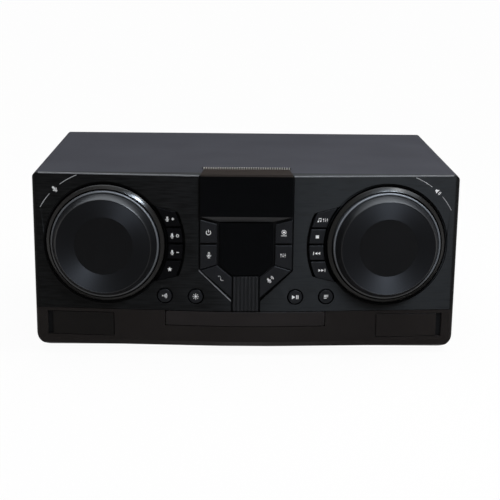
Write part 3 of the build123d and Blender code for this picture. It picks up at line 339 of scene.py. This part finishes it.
def soften(node, width_mm, surfaces=None, weigh=None, segments=2, highlighted=None, clamp=True):
    """A copy of a CAD node with its edges rounded, standing in its place.

    weigh gives an edge's share of the width, and highlighted picks the faces that get EDGE, the
    painted highlight. Without clamp, a bevel keeps its width even where two of them meet.
    """
    source = NODES[node]
    build = bmesh.new()
    build.from_mesh(source.data)
    bmesh.ops.remove_doubles(build, verts=build.verts, dist=2e-6)
    bmesh.ops.dissolve_limit(
        build, angle_limit=math.radians(1.2), verts=build.verts, edges=build.edges, delimit={"MATERIAL"}
    )
    weights = build.edges.layers.float.new("bevel_weight_edge")
    for edge in build.edges:
        if len(edge.link_faces) != 2:
            continue
        turn = edge.calc_face_angle(0.0)
        if turn > math.radians(SHARP_EDGE):
            edge[weights] = weigh(edge) if weigh else PLAIN_SHARE
    mesh_data = mesh_from(build, node + "_soft")
    for polygon in mesh_data.polygons:
        polygon.use_smooth = True
        polygon.material_index = 0
    surfaces = (surfaces or [MATERIALS[SLOT_OF[node]]]) + ([EDGE] if highlighted else [])
    made = piece_from(node + "_soft", mesh_data, surfaces, BODY_OF[node], (node,))
    bevel = made.modifiers.new("rounding", "BEVEL")
    bevel.width = width_mm * MM
    bevel.segments = segments
    bevel.limit_method = "WEIGHT"
    bevel.use_clamp_overlap = clamp
    bevel.offset_type = "OFFSET"
    bpy.context.view_layer.objects.active = made
    evaluated = made.evaluated_get(bpy.context.evaluated_depsgraph_get())
    rounded = bpy.data.meshes.new_from_object(evaluated)
    made.modifiers.clear()
    made.data = rounded
    for polygon in rounded.polygons:
        polygon.use_smooth = True
        if highlighted and highlighted(polygon):
            polygon.material_index = 1
    planar_uv(rounded)
    shade(rounded)


def lathe(name, matrix, profile, surfaces, body, replaces=(), *, steps):
    """Turns a profile of (radius, height, surface number) points about the matrix's Z.

    U runs round the axis and V along the profile. A radius of 0 closes the form with a fan.
    """
    build = bmesh.new()
    uv = build.loops.layers.uv.new("UVMap")
    rings = []
    travelled = [0.0]
    for (r0, h0, _), (r1, h1, _) in zip(profile, profile[1:]):
        travelled.append(travelled[-1] + math.hypot(r1 - r0, h1 - h0))
    for radius, height, _ in profile:
        if radius < 1e-6:
            rings.append([build.verts.new((0, 0, height * MM))])
            continue
        turns = [2 * math.pi * i / steps for i in range(steps)]
        rings.append([
            build.verts.new((radius * MM * math.cos(turn), radius * MM * math.sin(turn), height * MM))
            for turn in turns
        ])
    for number, (low, high) in enumerate(zip(rings, rings[1:])):
        for i in range(steps):
            j = (i + 1) % steps
            if len(high) == 1:
                corners = [(low[i], i, number), (low[j], i + 1, number), (high[0], i + 0.5, number + 1)]
            else:
                corners = [
                    (low[i], i, number), (low[j], i + 1, number),
                    (high[j], i + 1, number + 1), (high[i], i, number + 1),
                ]
            face = build.faces.new([corner[0] for corner in corners])
            face.smooth = True
            face.material_index = profile[number][2]
            for loop, (_, turn, level) in zip(face.loops, corners):
                loop[uv].uv = (turn / steps, travelled[level] / travelled[-1])
    build.transform(matrix)
    build.normal_update()
    return piece_from(name, mesh_from(build, name), surfaces, body, replaces)


def sharpen(made, angle):
    """Keeps smooth shading but breaks it at edges that turn by more than the angle, in degrees."""
    build = bmesh.new()
    build.from_mesh(made.data)
    for edge in build.edges:
        if len(edge.link_faces) == 2:
            edge.smooth = edge.calc_face_angle(0.0) < math.radians(angle)
    build.to_mesh(made.data)
    build.free()


# Printed signs
class Sign:
    """Flat shapes drawn in a plane in millimetres, given a printed layer's thickness."""

    DISC_CORNERS = 20
    SUNK = 0.02  # how deep a sign's foot lies in its plane

    def __init__(self):
        self.shapes = []

    def area(self, points):
        """Closed outline, turned so that it faces the viewer."""
        total = sum(a[0] * b[1] - b[0] * a[1] for a, b in zip(points, points[1:] + points[:1]))
        self.shapes.append(list(points) if total > 0 else list(reversed(points)))
        return self

    def bar(self, x0, y0, x1, y1):
        return self.area([(x0, y0), (x1, y0), (x1, y1), (x0, y1)])

    def disc(self, x, y, radius):
        turns = [2 * math.pi * i / self.DISC_CORNERS for i in range(self.DISC_CORNERS)]
        return self.area([(x + radius * math.cos(turn), y + radius * math.sin(turn)) for turn in turns])

    def arc(self, x, y, radius, start, end, line, steps=24):
        """Band of the line's width from one angle to another, in degrees."""
        inner, outer = radius - line / 2, radius + line / 2
        turns = [math.radians(start + (end - start) * i / steps) for i in range(steps + 1)]
        for a, b in zip(turns, turns[1:]):
            self.area([
                (x + reach * math.cos(turn), y + reach * math.sin(turn))
                for reach, turn in ((inner, a), (outer, a), (outer, b), (inner, b))
            ])
        return self

    def line(self, points, width):
        """Joined strokes, each a quarter of the width longer at both ends."""
        for (x0, y0), (x1, y1) in zip(points, points[1:]):
            length = math.hypot(x1 - x0, y1 - y0)
            px, py = -(y1 - y0) / length * width / 2, (x1 - x0) / length * width / 2
            ex, ey = (x1 - x0) / length * width / 4, (y1 - y0) / length * width / 4
            self.area([
                (x0 - ex + px, y0 - ey + py), (x0 - ex - px, y0 - ey - py),
                (x1 + ex - px, y1 + ey - py), (x1 + ex + px, y1 + ey + py),
            ])
        return self

    def moved(self, dx, dy, scale=1.0, turn=0.0):
        """Scaled and turned about the sign's own origin, then shifted."""
        c, s = math.cos(math.radians(turn)) * scale, math.sin(math.radians(turn)) * scale
        self.shapes = [[(x * c - y * s + dx, x * s + y * c + dy) for x, y in shape] for shape in self.shapes]
        return self

    def join(self, other):
        self.shapes += other.shapes
        return self

    def put(self, name, matrix, body, surface=None, thickness=0.06):
        """Prints the sign on the matrix's plane, sunk a little into it."""
        build = bmesh.new()
        for shape in self.shapes:
            top = [build.verts.new((x * MM, y * MM, thickness * MM)) for x, y in shape]
            base = [build.verts.new((x * MM, y * MM, -self.SUNK * MM)) for x, y in shape]
            build.faces.new(top)
            for i in range(len(shape)):
                j = (i + 1) % len(shape)
                build.faces.new((base[i], base[j], top[j], top[i]))
        build.transform(matrix)
        build.normal_update()
        return piece_from(name, mesh_from(build, name), [surface or PRINT], body)


def microphone():
    sign = Sign().disc(0, 1.1, 0.75).bar(-0.75, -0.1, 0.75, 1.1).disc(0, -0.1, 0.75)
    return sign.arc(0, 0.0, 1.35, 190, 350, 0.4).bar(-0.2, -2.0, 0.2, -1.3).bar(-0.8, -2.3, 0.8, -1.95)


def loudspeaker():
    sign = Sign().bar(-1.9, -0.7, -1.0, 0.7).area([(-1.0, -0.7), (0.1, -1.6), (0.1, 1.6), (-1.0, 0.7)])
    return sign.arc(0.1, 0, 1.2, -42, 42, 0.36).arc(0.1, 0, 2.0, -42, 42, 0.36)


def plus():
    return Sign().bar(-1.0, -0.25, 1.0, 0.25).bar(-0.25, -1.0, 0.25, -0.25).bar(-0.25, 0.25, 0.25, 1.0)


def minus():
    return Sign().bar(-1.0, -0.25, 1.0, 0.25)


def note():
    sign = Sign().disc(-0.9, -1.2, 0.62).disc(1.1, -0.9, 0.62)
    sign.bar(-0.55, -1.1, -0.25, 1.3).bar(1.45, -0.8, 1.75, 1.6)
    return sign.area([(-0.55, 0.9), (1.75, 1.2), (1.75, 1.8), (-0.55, 1.5)])


def play(x, size, way=1):
    """Arrowhead that points right, or left where way is -1."""
    back, tip = x - 0.8 * size * way, x + 0.9 * size * way
    return Sign().area([(back, -size), (tip, 0), (back, size)])


def star(points, outer, inner):
    corners = []
    for i in range(2 * points):
        radius = outer if i % 2 == 0 else inner
        turn = math.pi * i / points + math.pi / 2
        corners.append((radius * math.cos(turn), radius * math.sin(turn)))
    sign = Sign()
    for i in range(0, 2 * points, 2):
        sign.area([(0, 0), corners[i - 1], corners[i], corners[(i + 1) % (2 * points)]])
    return sign


def sliders():
    sign = Sign()
    for x, grip in ((-1.6, 0.6), (0.0, -0.7), (1.6, 0.2)):
        sign.bar(x - 0.14, -1.6, x + 0.14, 1.6).bar(x - 0.55, grip - 0.32, x + 0.55, grip + 0.32)
    return sign


def wave():
    points = [(-2.6 + 0.26 * i, 1.0 * math.sin(2 * math.pi * i / 20)) for i in range(21)]
    return Sign().line(points, 0.5)


def power():
    return Sign().arc(0, 0, 1.75, 125, 415, 0.5).bar(-0.27, 0.2, 0.27, 2.35)


# Camera, fitted to the photograph: focal length in its pixels, angles in radians, place in metres
FOCAL, PICTURE_WIDTH = 1195.336, 500.0
YAW, PITCH, ROLL = 0.0168772, 0.2506219, 0.0116004
CAMERA_PLACE = (-0.016369, -1.230991 + FRONT_Y * MM, 0.422507 + CASE_Z * MM)
camera_data = bpy.data.cameras.new("view")
camera = bpy.data.objects.new("view", camera_data)
bpy.context.scene.collection.objects.link(camera)
camera_data.sensor_width = 36.0
camera_data.lens = FOCAL / PICTURE_WIDTH * camera_data.sensor_width
forward = Vector((math.sin(YAW) * math.cos(PITCH), math.cos(YAW) * math.cos(PITCH), -math.sin(PITCH)))
right = Vector((math.cos(YAW), -math.sin(YAW), 0.0))
up = right.cross(forward)
right, up = (
    math.cos(ROLL) * right + math.sin(ROLL) * up,
    -math.sin(ROLL) * right + math.cos(ROLL) * up,
)
camera.rotation_mode = "QUATERNION"
camera.rotation_quaternion = Matrix((right, up, -forward)).transposed().to_quaternion()
camera.location = CAMERA_PLACE
camera_data.clip_start = 0.05
camera_data.clip_end = 200.0
bpy.context.scene.camera = camera

# Front
ROUND_END = 213.8  # from here outwards the fascia's ends are rounded already
NOTCH_HALF = 56.0  # the console's notch with its bevels
NOTCH_FRONT = FRONT_Y - 10.0  # the notch's rim lies ahead of this
DIAGONAL_FOOT = CASE_Z + 44.0
DIAGONAL_TOP = CASE_Z + 92.0


def fascia_edge(edge):
    """Broad on the console's diagonals, none at the rounded ends and along the top, fine elsewhere."""
    a, b = (vert.co / MM for vert in edge.verts)
    reach = max(abs(a.x), abs(b.x))
    if reach > ROUND_END or min(a.z, b.z) > CASE_Z + FACE_TOP - 1:
        return 0.0
    slope = abs(a.z - b.z) / max(1e-6, abs(a.x - b.x))
    low = max(a.z, b.z) < DIAGONAL_TOP and min(a.z, b.z) > DIAGONAL_FOOT
    if low and 0.5 < slope < 1.6 and reach < NOTCH_HALF and max(a.y, b.y) < NOTCH_FRONT:
        return BROAD_SHARE
    return FINE_SHARE


def fascia_highlight_faces(polygon):
    """The bevel of the console's lower left diagonal, which takes EDGE's painted highlight."""
    centre, normal = polygon.center / MM, polygon.normal
    beside = -NOTCH_HALF < centre.x < -12 and centre.z < DIAGONAL_TOP and centre.y < NOTCH_FRONT
    return beside and normal.y < -0.2 and normal.z > 0.25 and normal.x > 0.15


soften("front_fascia", 1.6, weigh=fascia_edge, highlighted=fascia_highlight_faces, clamp=False)
soften("front_skirt", 1.2)
# The tray's door takes the lighter copy of the skirt plastic: painted light
soften("tray_door", 1.2, surfaces=[LIGHT_PAINTED_TRAY])
# The left port door takes the darker copy of the skirt plastic: painted shade
soften("left_port_door", 1.2, surfaces=[SHADE_PAINTED_DOOR])
soften("right_port_door", 1.2)
for node in ("display_window", "centre_window", "console_frame", "display_lip"):
    soften(node, 1.0)
soften("display_crown", 1.2, surfaces=[CROWN_PAINTED_SHEEN])
soften("rib_band", 1.0, surfaces=[RIBS])
# Keys; those of the left column take the darker copy of the key plastic, painted shade
for node in NODES:
    if node.endswith("_key") or "_key_" in node:
        soften(node, 1.6, surfaces=[SHADE_PAINTED_KEY] if node.startswith("left_key") else None, segments=3)


def swept(build, rows):
    """Faces of a bar through rows of the same number of vertices, closed at both ends."""
    faces = [build.faces.new(rows[0]), build.faces.new(list(reversed(rows[-1])))]
    for row, after in zip(rows, rows[1:]):
        for i in range(len(row)):
            j = (i + 1) % len(row)
            faces.append(build.faces.new((row[i], row[j], after[j], after[i])))
    return faces


# Corner along the top of each wing's face in EDGE, a painted highlight: (height, proud) points of its
# section, and the places along the wing that it goes through
TRIM_SECTION = [
    (-1.0, -0.2), (-1.0, 0.03), (-0.85, 0.06), (-0.3, 0.05),
    (0.0, -0.2), (0.05, -0.6), (0.04, -1.5), (-0.2, -1.6),
]
TRIM_STATIONS = (49.9, 90.0, 130.0, 170.0, 218.4)
for side, name in ((-1, "left"), (1, "right")):
    build = bmesh.new()
    rows = []
    for along in TRIM_STATIONS:
        points = [wing(side, side * along, FACE_TOP + height, proud) for height, proud in TRIM_SECTION]
        rows.append([build.verts.new(point) for point in points])
    swept(build, rows)
    bmesh.ops.recalc_face_normals(build, faces=build.faces)
    trim_mesh = mesh_from(build, f"top_trim_{name}")
    for polygon in trim_mesh.polygons:
        polygon.use_smooth = True
    piece_from(f"top_trim_{name}", trim_mesh, [EDGE], "case")
    shade(trim_mesh)

# Crown's rear edge: a row of fine teeth before a dark strip, placed from the crown's upper rear corner
TEETH = 37
ROW_INSET = 2.4  # from the crown's end to the first tooth
STRIP_MORE = 0.6  # how far the strip runs on past the teeth
TOOTH_HEIGHT = 1.9
TOOTH_FRONT = (-1.4, -0.2)  # (y, z) of the foot
TOOTH_BACK = (-0.7, -0.1)
STRIP_SECTION = [(-0.8, -0.2), (-0.8, 1.3), (-0.65, 1.5), (-0.25, 1.5), (-0.1, 1.3), (-0.1, -0.2)]
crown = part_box("display_crown")[1] / MM
row_half = crown.x - ROW_INSET
pitch = 2 * row_half / TEETH
teeth = bmesh.new()


def crown_vertex(x, y, z):
    return teeth.verts.new((x * MM, (crown.y + y) * MM, (crown.z + z) * MM))


for number in range(TEETH):
    start = -row_half + pitch * number
    outline = [
        (start + share * pitch, height)
        for share, height in ((0.22, 0.0), (0.78, 0.0), (0.7, TOOTH_HEIGHT), (0.3, TOOTH_HEIGHT))
    ]
    rows = [[crown_vertex(x, y, foot + z) for x, z in outline] for y, foot in (TOOTH_FRONT, TOOTH_BACK)]
    swept(teeth, rows)
strip_half = row_half + STRIP_MORE
rows = [[crown_vertex(x, y, z) for y, z in STRIP_SECTION] for x in (-strip_half, strip_half)]
for face in swept(teeth, rows):
    face.material_index = 1
bmesh.ops.recalc_face_normals(teeth, faces=teeth.faces)
teeth_mesh = mesh_from(teeth, "crown_teeth")
piece_from("crown_teeth", teeth_mesh, [TOOTH, MATERIALS["gloss_black"]], "case")

# Knobs, from the shaft outwards, over the ring and the wall and in again across the dish:
# radius, height above the fascia and number of the finish
KNOB_FINISHES = [RING, WALL, SPUN, MATT_DISC]
KNOB_PROFILE = [
    (3.0, -10.3, 1), (3.0, -1.3, 1), (56.7, -1.3, 1), (57.2, -0.8, 0), (57.2, 6.4, 0), (57.05, 7.0, 0),
    (56.6, 7.3, 0), (55.6, 7.4, 0), (55.2, 7.2, 1), (54.9, 6.8, 1), (54.6, 7.6, 1), (53.8, 9.6, 1),
    (52.8, 11.9, 1), (51.8, 14.0, 1), (50.9, 15.7, 1), (50.35, 16.6, 1), (49.9, 17.0, 1), (49.6, 16.9, 2),
    (49.45, 16.6, 2), (31.1, 14.5, 2), (30.9, 14.4, 3), (30.6, 14.38, 3), (0.0, 14.38, 3),
]
BEZEL_PROFILE = [
    (63.0, -1.7, 0), (63.0, 0.9, 0), (62.9, 1.3, 0), (62.6, 1.75, 0), (62.0, 2.35, 0),
    (61.2, 3.08, 0), (60.4, 3.76, 0), (59.8, 4.25, 0), (59.4, 4.6, 0), (59.1, 4.9, 0),
    (58.9, 4.95, 0), (58.74, 4.8, 0), (58.7, 4.4, 0), (58.7, -1.7, 0),
]
# Near-black ring round each bezel, lying on the fascia: painted shadow in the gap
GAP_SHADOW_PROFILE = [(64.5, -0.3, 0), (64.45, 0.05, 0), (64.3, 0.1, 0), (63.0, 0.1, 0), (62.9, -0.3, 0)]
for side, body in ((-1, "mic_knob"), (1, "main_knob")):
    axis = wing_frame(side, side * KNOB_ALONG, KNOB_HEIGHT)
    lathe(body + "_gap_shadow", axis, GAP_SHADOW_PROFILE, [GAP_SHADE], "case", steps=120)
    knob = lathe(body + "_turned", axis, KNOB_PROFILE, KNOB_FINISHES, body, (body,), steps=160)
    sharpen(knob, 40)
    bezel = lathe(
        body + "_bezel", axis, BEZEL_PROFILE, [BEZEL], "case", ("knob_bezels",), steps=288
    )
    sharpen(bezel, 50)

# Signs on the keys and the fascia
KEY_FACE = 0.8  # key faces above the fascia


def circle():
    return Sign().arc(0, 0, 1.0, 0, 360, 0.45)


def skip(way):
    """Two arrowheads against a bar."""
    arrows = play(0.6 * way, 1.2, way).join(play(-1.7 * way, 1.2, way))
    low, high = sorted((2.5 * way, 3.0 * way))
    return arrows.join(Sign().bar(low, -1.3, high, 1.3))


def rays():
    sign = Sign().disc(0, 0, 1.0)
    for i in range(8):
        x, y = math.cos(math.radians(45 * i)), math.sin(math.radians(45 * i))
        sign.line([(1.5 * x, 1.5 * y), (2.5 * x, 2.5 * y)], 0.45)
    return sign


def wireless():
    sign = Sign().disc(-1.7, 0, 0.6)
    for radius in (1.5, 2.5, 3.5):
        sign.arc(-1.7, 0, radius, -38, 38, 0.5)
    return sign


def play_pause():
    return play(-1.5, 1.7).join(Sign().bar(0.7, -1.7, 1.4, 1.7)).join(Sign().bar(2.0, -1.7, 2.7, 1.7))


def bars():
    return Sign().bar(-1.9, 1.0, 1.9, 1.6).bar(-1.9, -0.3, 1.9, 0.3).bar(-1.9, -1.6, 0.6, -1.0)


def record():
    return Sign().arc(0, 0.8, 1.6, 0, 360, 0.45).disc(0, 0.8, 0.75).bar(-2.2, -2.3, 2.2, -1.8)


def voice():
    return microphone().moved(-2.0, 0).arc(-0.2, 0, 1.1, -45, 45, 0.45).arc(-0.2, 0, 2.1, -45, 45, 0.45)


def microphone_with(mark):
    return microphone().moved(-2.2, 0.1).join(mark)


# Keys beside the knobs, from the top: places along the wing and above the skirt's underside, and signs
COLUMN_PLACES = ((80.0, 143.0), (75.0, 125.0), (75.0, 107.0), (80.5, 88.4))
LEFT_SIGNS = (
    microphone_with(plus().moved(2.2, 0, 1.1)), microphone_with(circle().moved(2.2, 0)),
    microphone_with(minus().moved(2.2, 0, 1.1)), star(5, 2.1, 0.95),
)
RIGHT_SIGNS = (
    note().moved(-2.6, 0).join(sliders().moved(2.4, 0, 0.95)), Sign().bar(-1.3, -1.3, 1.3, 1.3),
    skip(-1), skip(1),
)
for side, name, signs in ((-1, "left", LEFT_SIGNS), (1, "right", RIGHT_SIGNS)):
    for number, ((along, height), sign) in enumerate(zip(COLUMN_PLACES, signs)):
        key = f"{name}_key_{number + 1}"
        sign.moved(0, 0, 1.3).put(key + "_sign", wing_frame(side, side * along, height, KEY_FACE), key)

# Round keys
ROUND_HEIGHT = 59.2
for side, along, key, sign in (
    (-1, 53.0, "light_key", rays()), (-1, 86.0, "wireless_key", wireless()),
    (1, 53.0, "play_key", play_pause()), (1, 86.0, "function_key", bars()),
):
    matrix = wing_frame(side, side * along, ROUND_HEIGHT, KEY_FACE)
    sign.moved(0, 0, 1.25).put(key + "_sign", matrix, key)

# Console keys: place, turn of the sign in degrees and sign
for x, z, turn, sign, key in (
    (-39.5, 129.5, 0, power(), "power_key"),
    (-39.0, 105.5, 0, microphone().moved(0, 0, 1.15), "mic_key"),
    (-26.5, 80.0, -40, wave(), "bass_key"),
    (39.5, 129.5, 0, record(), "record_key"),
    (39.0, 105.5, 0, sliders(), "tone_key"),
    (26.5, 80.0, 40, voice(), "vocal_key"),
):
    sign.moved(0, 0, 1.35, turn).put(key + "_sign", flat_frame(x, CONSOLE_Y, CASE_Z + z), key)

# Broken arc round each knob's outer upper corner, with a sign in its gap
ARC_RADIUS = 78.0
ARC_SPANS = ((151.5, 138.2), (127.1, 112.0))  # on the left side, in degrees
ARC_GAP = 132.8
for side, name, sign in ((-1, "mic_corner", microphone()), (1, "main_corner", loudspeaker())):
    matrix = wing_frame(side, side * KNOB_ALONG, KNOB_HEIGHT)
    arcs = Sign()
    for first, last in ARC_SPANS:
        if side > 0:
            first, last = 180 - first, 180 - last
        arcs.arc(0, 0, ARC_RADIUS, first, last, 0.6, 28)
    arcs.put(name + "_arcs", matrix, "case", ARC_PRINT)
    gap = ARC_GAP if side < 0 else 180 - ARC_GAP
    x, y = ARC_RADIUS * math.cos(math.radians(gap)), ARC_RADIUS * math.sin(math.radians(gap))
    sign.moved(x, y, 1.6, gap - 90).put(name + "_sign", matrix, "case")

# Case, rear and inside
for node, width in (
    ("top_cover", 1.0), ("rear_panel", 0.8), ("feet", 1.6),
    ("disc_tray", 1.2), ("rear_sockets", 0.9), ("port_blocks", 0.9),
):
    soften(node, width)

# The CAD's own meshes take the surfaces of their slots
for node, obj in NODES.items():
    for slot in obj.material_slots:
        slot.material = MATERIALS[SLOT_OF[node]].material


def screw(name, matrix, radius):
    """Black pan head with a cross in its middle."""
    profile = [
        (radius * share, height, 0)
        for share, height in ((1.0, 0.0), (1.0, 0.5), (0.88, 1.15), (0.6, 1.55), (0.0, 1.7))
    ]
    black = MATERIALS["matte_black"]
    lathe(name, matrix, profile, [black], "case", steps=28)
    arm, half = radius * 0.55, 0.32
    cross = Sign().bar(-arm, -half, arm, half).bar(-half, half, half, arm).bar(-half, -arm, half, -half)
    cross.put(name + "_cross", matrix @ Matrix.Translation((0, 0, 1.55 * MM)), "case", black, 0.17)


# Screws: (x, z) on the rear panel, (y, z) on the cover's sides
REAR_SCREWS = (
    (-212, 12), (-212, 172), (212, 12), (212, 172), (-70, 178), (70, 178), (-100, 14), (90, 14),
)
SIDE_SCREWS = ((-95, 40), (118, 40))
panel_low, panel_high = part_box("rear_panel")
for number, (x, z) in enumerate(REAR_SCREWS):
    screw(f"rear_screw_{number + 1}", flat_frame(x, panel_high.y / MM, CASE_Z + z, "+Y"), 2.6)
cover_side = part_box("top_cover")[1].x
for side, name in ((-1, "left"), (1, "right")):
    for number, (y, z) in enumerate(SIDE_SCREWS):
        matrix = side_frame(side, cover_side, y * MM, (CASE_Z + z) * MM)
        screw(f"side_screw_{name}_{number + 1}", matrix, 3.6)


PLEATS = 44
PLEAT_DEPTH = 2.2
SCREEN_THICKNESS = 0.3


def pleated(name, matrix, width, height):
    """Dust screen folded in upright pleats, lying behind the matrix's plane."""
    build = bmesh.new()
    rows = []
    for layer in (0.0, SCREEN_THICKNESS):
        for level in (-height / 2, height / 2):
            points = [
                (width * (i / PLEATS - 0.5), level, -(PLEAT_DEPTH * (i % 2) + layer))
                for i in range(PLEATS + 1)
            ]
            rows.append([build.verts.new(Vector(point) * MM) for point in points])
    for first, second in ((0, 1), (3, 2), (1, 3), (2, 0)):
        low, high = rows[first], rows[second]
        for i in range(PLEATS):
            build.faces.new((low[i], low[i + 1], high[i + 1], high[i]))
    build.transform(matrix)
    piece_from(name, mesh_from(build, name), [SCREEN], "case")


# Dust screens behind the vents: the middles of the vents in the cover's sides (y, z) and in the rear
# panel (x, z), and the screens' sizes
SIDE_VENT, SIDE_SCREEN = (42.3, 131.2), (112.0, 68.0)
REAR_VENT, REAR_SCREEN = (-146.0, CASE_Z + 130.0), (124.0, 52.0)
for side, name in ((-1, "left"), (1, "right")):
    matrix = side_frame(side, cover_side - 1.3 * MM, SIDE_VENT[0] * MM, SIDE_VENT[1] * MM)
    pleated(f"side_screen_{name}", matrix, *SIDE_SCREEN)
pleated("rear_screen", flat_frame(REAR_VENT[0], panel_low.y / MM - 0.3, REAR_VENT[1], "+Y"), *REAR_SCREEN)

# Signal jacks: plated sleeves with coloured insulators round their bores, and collars of the colour
SLEEVE_PROFILE = [
    (4.28, -7.4, 0), (4.28, 0.02, 0), (4.1, 0.12, 0), (3.5, 0.12, 0), (3.3, 0.06, 1), (1.75, 0.06, 1),
]
COLLAR_PROFILE = [(6.4, -7.5, 0), (6.4, -6.6, 0), (6.1, -6.3, 0), (4.35, -6.3, 0)]
jack_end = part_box("rear_sockets")[1].y / MM
for number, (x, colour) in enumerate(((-71.0, WHITE_RING), (-53.0, RED_RING))):
    matrix = flat_frame(x, jack_end, CASE_Z + 60, "+Y")
    for part, profile, finishes in (
        ("sleeve", SLEEVE_PROFILE, [CHROME, colour]), ("collar", COLLAR_PROFILE, [colour]),
    ):
        lathe(f"signal_{part}_{number + 1}", matrix, profile, finishes, "case", steps=40)

# Microphone jacks behind the left door: plated nuts round the bores
NUT_PROFILE = [(5.6, 0.0, 0), (5.6, 1.0, 0), (5.1, 1.5, 0), (3.9, 1.5, 0), (3.45, 1.1, 0), (3.4, 0.0, 0)]
for mount in frame["record"]["mounts"]:
    if mount["name"].startswith("microphone_jack"):
        matrix = wing_frame(-1, 0.0, 0.0)
        matrix.translation = Vector(mount["pos_m"])
        lathe(mount["name"] + "_nut", matrix, NUT_PROFILE, [CHROME], "case", steps=40)

# Stage and light
FLOOR_REACH = 60.0  # metres, far beyond the camera's view
FLOOR_CELLS = 12
PAPER_GLOW = 0.95  # share of the floor's own white where it is seen
FILL = 0.42  # the world's strength where it lights the part
floor_build = bmesh.new()
stations = [-FLOOR_REACH + 2 * FLOOR_REACH * i / FLOOR_CELLS for i in range(FLOOR_CELLS + 1)]
rows = [[floor_build.verts.new((x, y, 0.0)) for x in stations] for y in stations]
for row, after in zip(rows, rows[1:]):
    for i in range(FLOOR_CELLS):
        floor_build.faces.new((row[i], row[i + 1], after[i + 1], after[i]))
floor_mesh = mesh_from(floor_build, "studio_floor")
floor = bpy.data.objects.new("studio_floor", floor_mesh)
bpy.context.scene.collection.objects.link(floor)


def seen_white(tree):
    """1 for rays from the camera, from gloss and through glass."""
    path = tree.nodes.new("ShaderNodeLightPath")
    seen = path.outputs["Is Camera Ray"]
    for kind in ("Is Glossy Ray", "Is Transmission Ray"):
        either = tree.nodes.new("ShaderNodeMath")
        either.operation = "MAXIMUM"
        tree.links.new(seen, either.inputs[0])
        tree.links.new(path.outputs[kind], either.inputs[1])
        seen = either.outputs[0]
    return seen


paper = bpy.data.materials.new("studio_paper")
paper.use_nodes = True
tree = paper.node_tree
output = tree.nodes["Material Output"]
diffuse = tree.nodes["Principled BSDF"]
diffuse.inputs["Base Color"].default_value = (0.86, 0.86, 0.86, 1.0)
diffuse.inputs["Roughness"].default_value = 0.9
diffuse.inputs["Specular IOR Level"].default_value = 0.0
glow = tree.nodes.new("ShaderNodeEmission")
glow.inputs["Strength"].default_value = 1.0
mix = tree.nodes.new("ShaderNodeMixShader")
share = tree.nodes.new("ShaderNodeMath")
share.operation = "MULTIPLY"
share.inputs[1].default_value = PAPER_GLOW
tree.links.new(seen_white(tree), share.inputs[0])
tree.links.new(share.outputs[0], mix.inputs[0])
tree.links.new(diffuse.outputs[0], mix.inputs[1])
tree.links.new(glow.outputs[0], mix.inputs[2])
tree.links.new(mix.outputs[0], output.inputs["Surface"])
floor_mesh.materials.append(paper)

world = bpy.data.worlds.new("studio")
bpy.context.scene.world = world
world.use_nodes = True
tree = world.node_tree
background = tree.nodes["Background"]
background.inputs["Color"].default_value = (1.0, 1.0, 1.0, 1.0)
level = tree.nodes.new("ShaderNodeMapRange")
level.inputs["To Min"].default_value = FILL
level.inputs["To Max"].default_value = 1.0
tree.links.new(seen_white(tree), level.inputs["Value"])
tree.links.new(level.outputs["Result"], background.inputs["Strength"])


def lamp(name, kind, place, target, energy, size, height=None, gloss_only=False, tint=None):
    """Lamp that looks at a target, in metres; a sun's size is its angle in degrees.

    An area lamp is a disc where no height is given.
    """
    data = bpy.data.lights.new(name, kind)
    data.energy = energy
    if tint:
        data.color = tint
    if kind == "AREA":
        data.shape = "RECTANGLE" if height else "DISK"
        data.size = size
        if height:
            data.size_y = height
    if kind == "SUN":
        data.angle = math.radians(size)
    made = bpy.data.objects.new(name, data)
    bpy.context.scene.collection.objects.link(made)
    made.location = place
    made.rotation_mode = "QUATERNION"
    made.rotation_quaternion = (Vector(target) - Vector(place)).to_track_quat("-Z", "Y")
    made.visible_diffuse = not gloss_only


# Daylight from above, and three lamps for shape: the last two show in gloss alone
PART_FRONT = (0.05, -0.12, 0.1)
lamp("overhead", "SUN", (0.0, 0.35, 3.0), (0.0, 0.0, 0.0), 1.15, 60.0)
lamp("key", "AREA", (0.58, -0.36, 1.13), PART_FRONT, 5.0, 0.3)
lamp(
    "sheen", "AREA", (0.47, -0.9, 1.15), PART_FRONT, 130.0, 0.55, 0.3,
    gloss_only=True, tint=(0.76, 0.87, 1.0),
)
lamp(
    "ceiling", "AREA", (0.1, 0.35, 1.7), (0.0, -0.1, 0.1), 140.0, 4.0, 1.6,
    gloss_only=True, tint=(0.84, 0.92, 1.0),
)

bpy.context.scene.view_settings.view_transform = "Standard"
